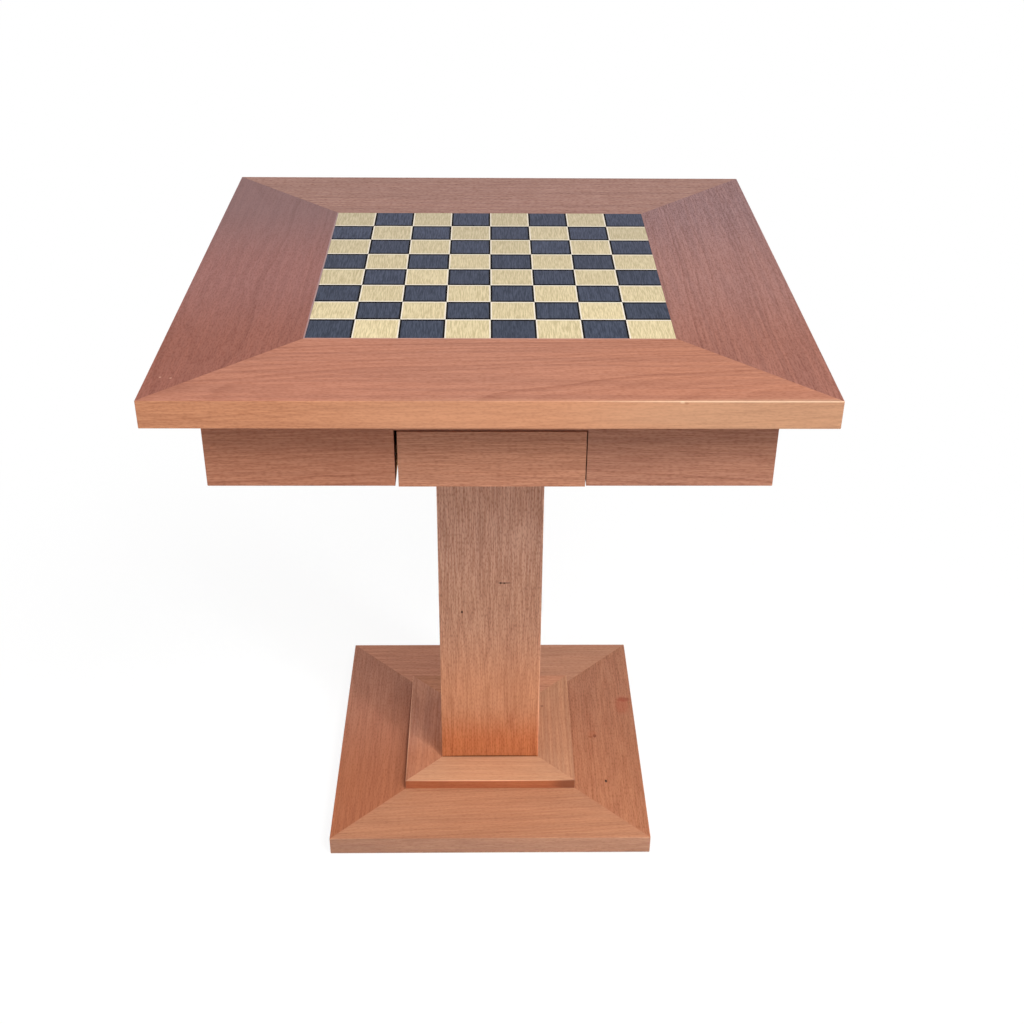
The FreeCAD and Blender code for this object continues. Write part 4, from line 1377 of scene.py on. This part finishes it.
@dataclass
class Base:
    """Stepped base: mitred boards round a core, a mitred collar and felt pads.

    Attributes:
        edge_radius: Round of a felt pad's edge, mm.
        ragged: How far the pad's cut edge wanders, mm.
        around: Places round a pad.
        boards: How the base's boards were sawn.
        collars: How the collar's strips were sawn.
    """

    edge_radius: float = 0.9
    ragged: float = 0.25
    around: int = 96
    boards: tuple[Board, ...] = (
        Board("base_board_front", Grain.ALONG_X, "#a87558", heart=(-380.0, -80.0), slope=0.03,
              skew=0.06, rings=0.7, bands=0.8, contrast=0.6, edge="#9f745d"),
        Board("base_board_rear", Grain.ALONG_X, ((-100.0, "#b88169", 0.7), (100.0, "#ab7b62", 0.7)),
              heart=(400.0, -90.0), slope=-0.03, rings=0.5, bands=0.6),
        # Tone stops with painted light: paler towards the rear, lifting the column's shadow
        Board("base_board_left", Grain.ALONG_Y, ((-120.0, "#9b5f42", 0.6), (160.0, "#a3715d", 0.9)),
              heart=(420.0, -100.0), rings=0.6, bands=0.5,
              # Painted shade in the corner along the collar's left edge
              marks=(Mark((-119.5, -5.0, 29.0), (2.6, 150.0, 3.0), "#6b3a28", 0.7),)),
        Board("base_board_right", Grain.ALONG_Y, ((-120.0, "#a66e50", 0.93), (160.0, "#a06d54", 1.03)),
              heart=(-400.0, -90.0), rings=0.7, bands=0.6, marks=(
                  Mark((163.0, -104.5, 29.0), (2.2, 3.8, 2.0), "#1d0d0a", 1.0),
                  Mark((153.5, -7.6, 29.0), (3.6, 5.0, 2.0), "#6e3a28", 0.9),
                  Mark((147.0, -9.8, 29.0), (5.0, 3.4, 2.0), "#86492f", 0.7),
                  Mark((150.0, -2.0, 29.0), (9.0, 9.0, 2.0), "#9c5a3e", 0.4),
                  Mark((203.0, 76.0, 29.0), (13.0, 7.0, 3.0), "#83402f", 0.75),
                  Mark((199.0, 62.0, 29.0), (14.0, 26.0, 3.0), "#9c4a34", 0.35),
              )),
    )
    collars: tuple[Board, ...] = (
        Board("collar_front", Grain.ALONG_X, "#b58566", heart=(-300.0, -60.0), slope=0.02,
              rings=0.5, bands=0.6, contrast=0.4, edge="#a45e3e",
              marks=(
                  # Painted highlight along the collar's front arris
                  Mark((0.0, -118.0, 43.0), (170.0, 1.5, 1.5), "#e6b592", 0.45),
                  Mark((118.0, -118.0, 36.0), (42.0, 2.5, 16.0), "#74432f", 0.8),
              )),
        Board("collar_rear", Grain.ALONG_X, "#b07a5f", heart=(300.0, -60.0), slope=0.02, contrast=0.7,
              marks=(Mark((-84.9, 82.4, 43.0), (4.0, 2.2, 2.0), "#5a3024", 0.7),)),
        # Tone stops with painted light: paler towards the rear, lifting the column's shadow
        Board("collar_left", Grain.ALONG_Y, ((-70.0, "#a56c50", 0.6), (0.0, "#b07d67", 0.6)),
              heart=(300.0, -50.0), slope=0.02,
              # Painted highlight along the collar's left arris
              marks=(Mark((-118.0, -5.0, 43.0), (1.6, 170.0, 1.6), "#d09b7d", 0.6),)),
        Board("collar_right", Grain.ALONG_Y, "#ab7b5e", heart=(-300.0, -50.0), slope=0.02, contrast=0.6,
              marks=(Mark((77.6, 43.8, 43.0), (3.0, 3.0, 2.0), "#6b3c2c", 0.6),)),
    )

    # Waves round a pad's rim, the step of their phases from pad to pad, and mean and swing of the cut
    WAVES = (3, 7, 12, 19)
    PHASE_STEP = 1.7
    CUT = (0.6, 0.5)
    # Rings on a pad's faces, as shares of its radius, and rings of its rounded edge
    FACE = (0.25, 0.6, 0.9)
    ROLL_STEPS = 5

    def build(self) -> None:
        """Dresses the boards, collar, core and tongues, and builds the felt pads."""
        dress(STRAIGHT_CHERRY, self.boards + self.collars)
        dress(PINE, [Board("base_core", Grain.ALONG_X, "#c9a376", heart=(30.0, -60.0), slope=0.02)])
        dress(BEECH, [Board("base_tongues", Grain.ALONG_X, "#c39a72", heart=(0.0, -60.0))])
        finish_piece(self.pads(), WoolFelt().material())

    def pads(self) -> bpy.types.Object:
        """Cuts the felt pads: discs with soft edges whose cut wanders round the rim.

        The edge is an arc of a small radius at both faces, and a sum of sines of the angle, with
        phases of its own for each pad, moves the rim in and out.

        Returns:
            All pads, in place of their CAD node.
        """
        angle = np.linspace(0, 2 * math.pi, self.around, endpoint=False)
        roll = np.linspace(0, math.pi / 2, self.ROLL_STEPS)
        lower = self.edge_radius * np.stack([np.sin(roll), 1 - np.cos(roll)])
        upper = self.edge_radius * np.stack([np.cos(roll), np.sin(roll)])
        mean, swing = self.CUT
        shells = []
        for number, solid in enumerate(solids_of("felt_pads")):
            low, high = solid.min(axis=0), solid.max(axis=0)
            middle = (low + high) / 2
            radius = (high[0] - low[0]) / 2
            wander = sum(np.sin(k * angle + self.PHASE_STEP * k * number) / k for k in self.WAVES)
            rim = radius - self.ragged * (mean + swing * wander)
            flat = np.array(self.FACE)[:, None] * (rim - self.edge_radius)
            radii = np.concatenate([flat, rim - self.edge_radius + lower[0][:, None],
                                    rim - self.edge_radius + upper[0][:, None], flat[::-1]])
            levels = np.concatenate([np.full(len(flat), low[2]), low[2] + lower[1],
                                     high[2] - self.edge_radius + upper[1], np.full(len(flat), high[2])])
            rings = round_rings(radii, levels, self.around)
            shells.append((rings + np.array([middle[0], middle[1], 0.0])) * MM)
        return fitted(lofted("felt_pads_cut", np.stack(shells), capped=True), TABLE_BODY,
                      "felt_pads")


@dataclass(frozen=True)
class Softbox:
    """Square lamp that looks at the table.

    Attributes:
        name: Name of the lamp.
        azimuth: Degrees to the right of the front.
        elevation: Degrees above the horizon.
        distance: From the point it looks at, mm.
        side: Side of the lamp, mm.
        power: Watts.
        mirrored: Whether the lacquer shows it.
        aim: Point that it looks at, mm.
        beam: Full angle that its grid lets through, degrees.
    """

    name: str
    azimuth: float
    elevation: float
    distance: float
    side: float
    power: float
    mirrored: bool = True
    aim: Place = (0.0, 0.0, 420.0)
    beam: float = 180.0


@dataclass
class Studio:
    """Plain white floor, soft light and the camera at the photograph's viewing angle.

    Attributes:
        camera_place: Camera, mm.
        pitch: Camera's tilt above the horizon, radians.
        yaw: Its turn to the right of straight ahead, radians.
        roll: Its turn about its own axis, radians.
        focal: Focal length over the picture's width.
        sensor: Width of the camera's sensor, mm.
        clip: Distance that the camera sees, m.
        sky: Brightness of the soft light from all round.
        floor_half: Half the floor's side, mm.
        floor_tone: Colour of the paper.
        floor_speck: Size of the paper's duller spots, mm.
        floor_gloss: Roughness of its smoothest and dullest spots.
        shadow: Share of the floor's own shading that the camera sees near the table.
        shadow_reach: Distances from the table at which that share starts to fade and is gone, mm.
        softboxes: Lamps.
    """

    camera_place: Place = (-3.3, -1570.2, 1365.7)
    pitch: float = -0.5471
    yaw: float = 0.0205
    roll: float = 0.0103
    focal: float = 1384.39 / 1024
    sensor: float = 36.0
    clip: float = 100.0
    sky: float = 0.2
    floor_half: float = 14000.0
    floor_tone: str = "#fafafa"
    floor_speck: float = 90.0
    floor_gloss: tuple[float, float] = (0.88, 1.0)
    shadow: float = 0.11
    shadow_reach: tuple[float, float] = (350.0, 1300.0)
    softboxes: tuple[Softbox, ...] = (
        Softbox("key_softbox", azimuth=30.0, elevation=45.5, distance=2800.0, side=950.0,
                power=61.0),
        Softbox("low_softbox", azimuth=42.0, elevation=25.0, distance=2200.0, side=500.0,
                power=0.55, aim=(0.0, 0.0, 40.0), beam=20.0),
        Softbox("front_left_softbox", azimuth=-45.0, elevation=35.0, distance=2600.0, side=1400.0,
                power=14.0),
        Softbox("left_softbox", azimuth=-100.0, elevation=18.0, distance=2600.0, side=1600.0,
                power=36.0, mirrored=False),
        Softbox("right_softbox", azimuth=100.0, elevation=18.0, distance=2600.0, side=1600.0,
                power=21.0, mirrored=False),
        Softbox("rear_softbox", azimuth=180.0, elevation=22.0, distance=2600.0, side=1600.0,
                power=9.0, mirrored=False),
    )

    def build(self) -> None:
        """Sets up the floor, the world, the lamps and the camera."""
        self.floor()
        self.world()
        for softbox in self.softboxes:
            self.hang(softbox)
        self.camera()
        bpy.context.scene.view_settings.view_transform = "Standard"
        log.info("studio: floor, world, softboxes and camera")

    def seen(self, shader: Shader) -> Socket:
        """Finds the rays that show the background, straight, in a mirror or through glass.

        Args:
            shader: Tree to draw in.

        Returns:
            1 for those rays and 0 for the rest.
        """
        path = shader.add("LightPath").node.outputs
        mirrored = shader.add("Math", {0: path["Is Camera Ray"], 1: path["Is Glossy Ray"]},
                              operation="MAXIMUM")
        return shader.add("Math", {0: mirrored, 1: path["Is Transmission Ray"]}, operation="MAXIMUM")

    def floor(self) -> None:
        """Lays the floor, which looks white, keeps a soft shadow and is clear from below."""
        shader, material = Shader.for_material("white_paper_floor")
        tone = linear(self.floor_tone)
        place = shader.add("TexCoord", out="Object")
        speckle = shader.add("TexNoise", {"Vector": place, "Scale": 1 / (self.floor_speck * MM)})
        smooth, dull = self.floor_gloss
        gloss = shader.add("MapRange", {"Value": speckle, "To Min": smooth, "To Max": dull})
        paper = shader.add("BsdfDiffuse", {"Color": tone, "Roughness": gloss})
        white = shader.add("Emission", {"Strength": 1.0})
        distance = shader.add("VectorMath", {0: place}, out="Value", operation="LENGTH")
        near, far = self.shadow_reach
        whiteness = shader.add("MapRange", {
            "Value": distance, "From Min": near * MM, "From Max": far * MM, "To Min": 1 - self.shadow,
        }, interpolation_type="SMOOTHSTEP")
        share = shader.add("Math", {0: self.seen(shader), 1: whiteness}, operation="MULTIPLY")
        above = shader.add("MixShader", {0: share, 1: paper, 2: white})
        clear = shader.add("BsdfTransparent")
        behind = shader.add("NewGeometry", out="Backfacing")
        surface = shader.add("MixShader", {0: behind, 1: above, 2: clear})
        shader.add("OutputMaterial", {"Surface": surface})
        half = self.floor_half * MM
        mesh = bpy.data.meshes.new("floor")
        corners = [(-half, -half, 0.0), (half, -half, 0.0), (half, half, 0.0), (-half, half, 0.0)]
        mesh.from_pydata(corners, [], [(0, 1, 2, 3)])
        mesh.materials.append(material)
        floor = bpy.data.objects.new("floor", mesh)
        bpy.context.scene.collection.objects.link(floor)

    def world(self) -> None:
        """Lights the object softly from all round and shows white behind it."""
        world = bpy.data.worlds.new("soft_white")
        world.use_nodes = True
        shader = Shader(world.node_tree)
        light = shader.add("Background", {"Color": linear("#ffffff"), "Strength": self.sky})
        white = shader.add("Background", {"Color": linear("#ffffff"), "Strength": 1.0})
        surface = shader.add("MixShader", {0: self.seen(shader), 1: light, 2: white})
        shader.add("OutputWorld", {"Surface": surface})
        bpy.context.scene.world = world

    def hang(self, softbox: Softbox) -> None:
        """Hangs a softbox on its line from the aim and turns it to look back along that line.

        Args:
            softbox: Lamp to hang.
        """
        a, e = math.radians(softbox.azimuth), math.radians(softbox.elevation)
        back = np.array([math.sin(a) * math.cos(e), -math.cos(a) * math.cos(e), math.sin(e)])
        right = np.array([math.cos(a), math.sin(a), 0.0])
        data = bpy.data.lights.new(softbox.name, "AREA")
        data.size = softbox.side * MM
        data.energy = softbox.power
        data.spread = math.radians(softbox.beam)
        lamp = bpy.data.objects.new(softbox.name, data)
        lamp.visible_glossy = softbox.mirrored
        lamp.matrix_world = self.standing(np.array(softbox.aim) + softbox.distance * back, right, back)
        bpy.context.scene.collection.objects.link(lamp)

    def standing(self, place: np.ndarray, right: np.ndarray, back: np.ndarray) -> Matrix:
        """Gives the matrix of a lamp or camera that looks away from its back.

        Args:
            place: Where it stands, mm.
            right: Unit vector to its right.
            back: Unit vector from what it looks at.

        Returns:
            World matrix in metres.
        """
        matrix = np.eye(4)
        matrix[:3, :3] = np.stack([right, np.cross(back, right), back], axis=1)
        matrix[:3, 3] = place * MM
        return Matrix(matrix.tolist())

    def camera(self) -> None:
        """Stands the camera where the photograph was taken from."""
        ahead = np.array([math.sin(self.yaw) * math.cos(self.pitch),
                          math.cos(self.yaw) * math.cos(self.pitch), math.sin(self.pitch)])
        level = np.array([math.cos(self.yaw), -math.sin(self.yaw), 0.0])
        right = math.cos(self.roll) * level + math.sin(self.roll) * np.cross(level, ahead)
        data = bpy.data.cameras.new("camera")
        data.sensor_width = self.sensor
        data.lens = self.sensor * self.focal
        data.dof.use_dof = False
        data.clip_end = self.clip
        camera = bpy.data.objects.new("camera", data)
        camera.matrix_world = self.standing(np.array(self.camera_place), right, -ahead)
        bpy.context.scene.collection.objects.link(camera)
        bpy.context.scene.camera = camera


def main() -> None:
    """Builds the sub-assemblies in order, then the studio."""
    logging.basicConfig(level=logging.INFO, format="%(name)s %(message)s")
    steel = ZincSteel().material()
    drawers = [Drawer(body, steel) for body in ("front_drawer", "rear_drawer")]
    for part in (Top(), Apron(), SubFrame(steel), *drawers, Column(steel), Base(), Studio()):
        part.build()


if __name__ == "__main__":
    main()
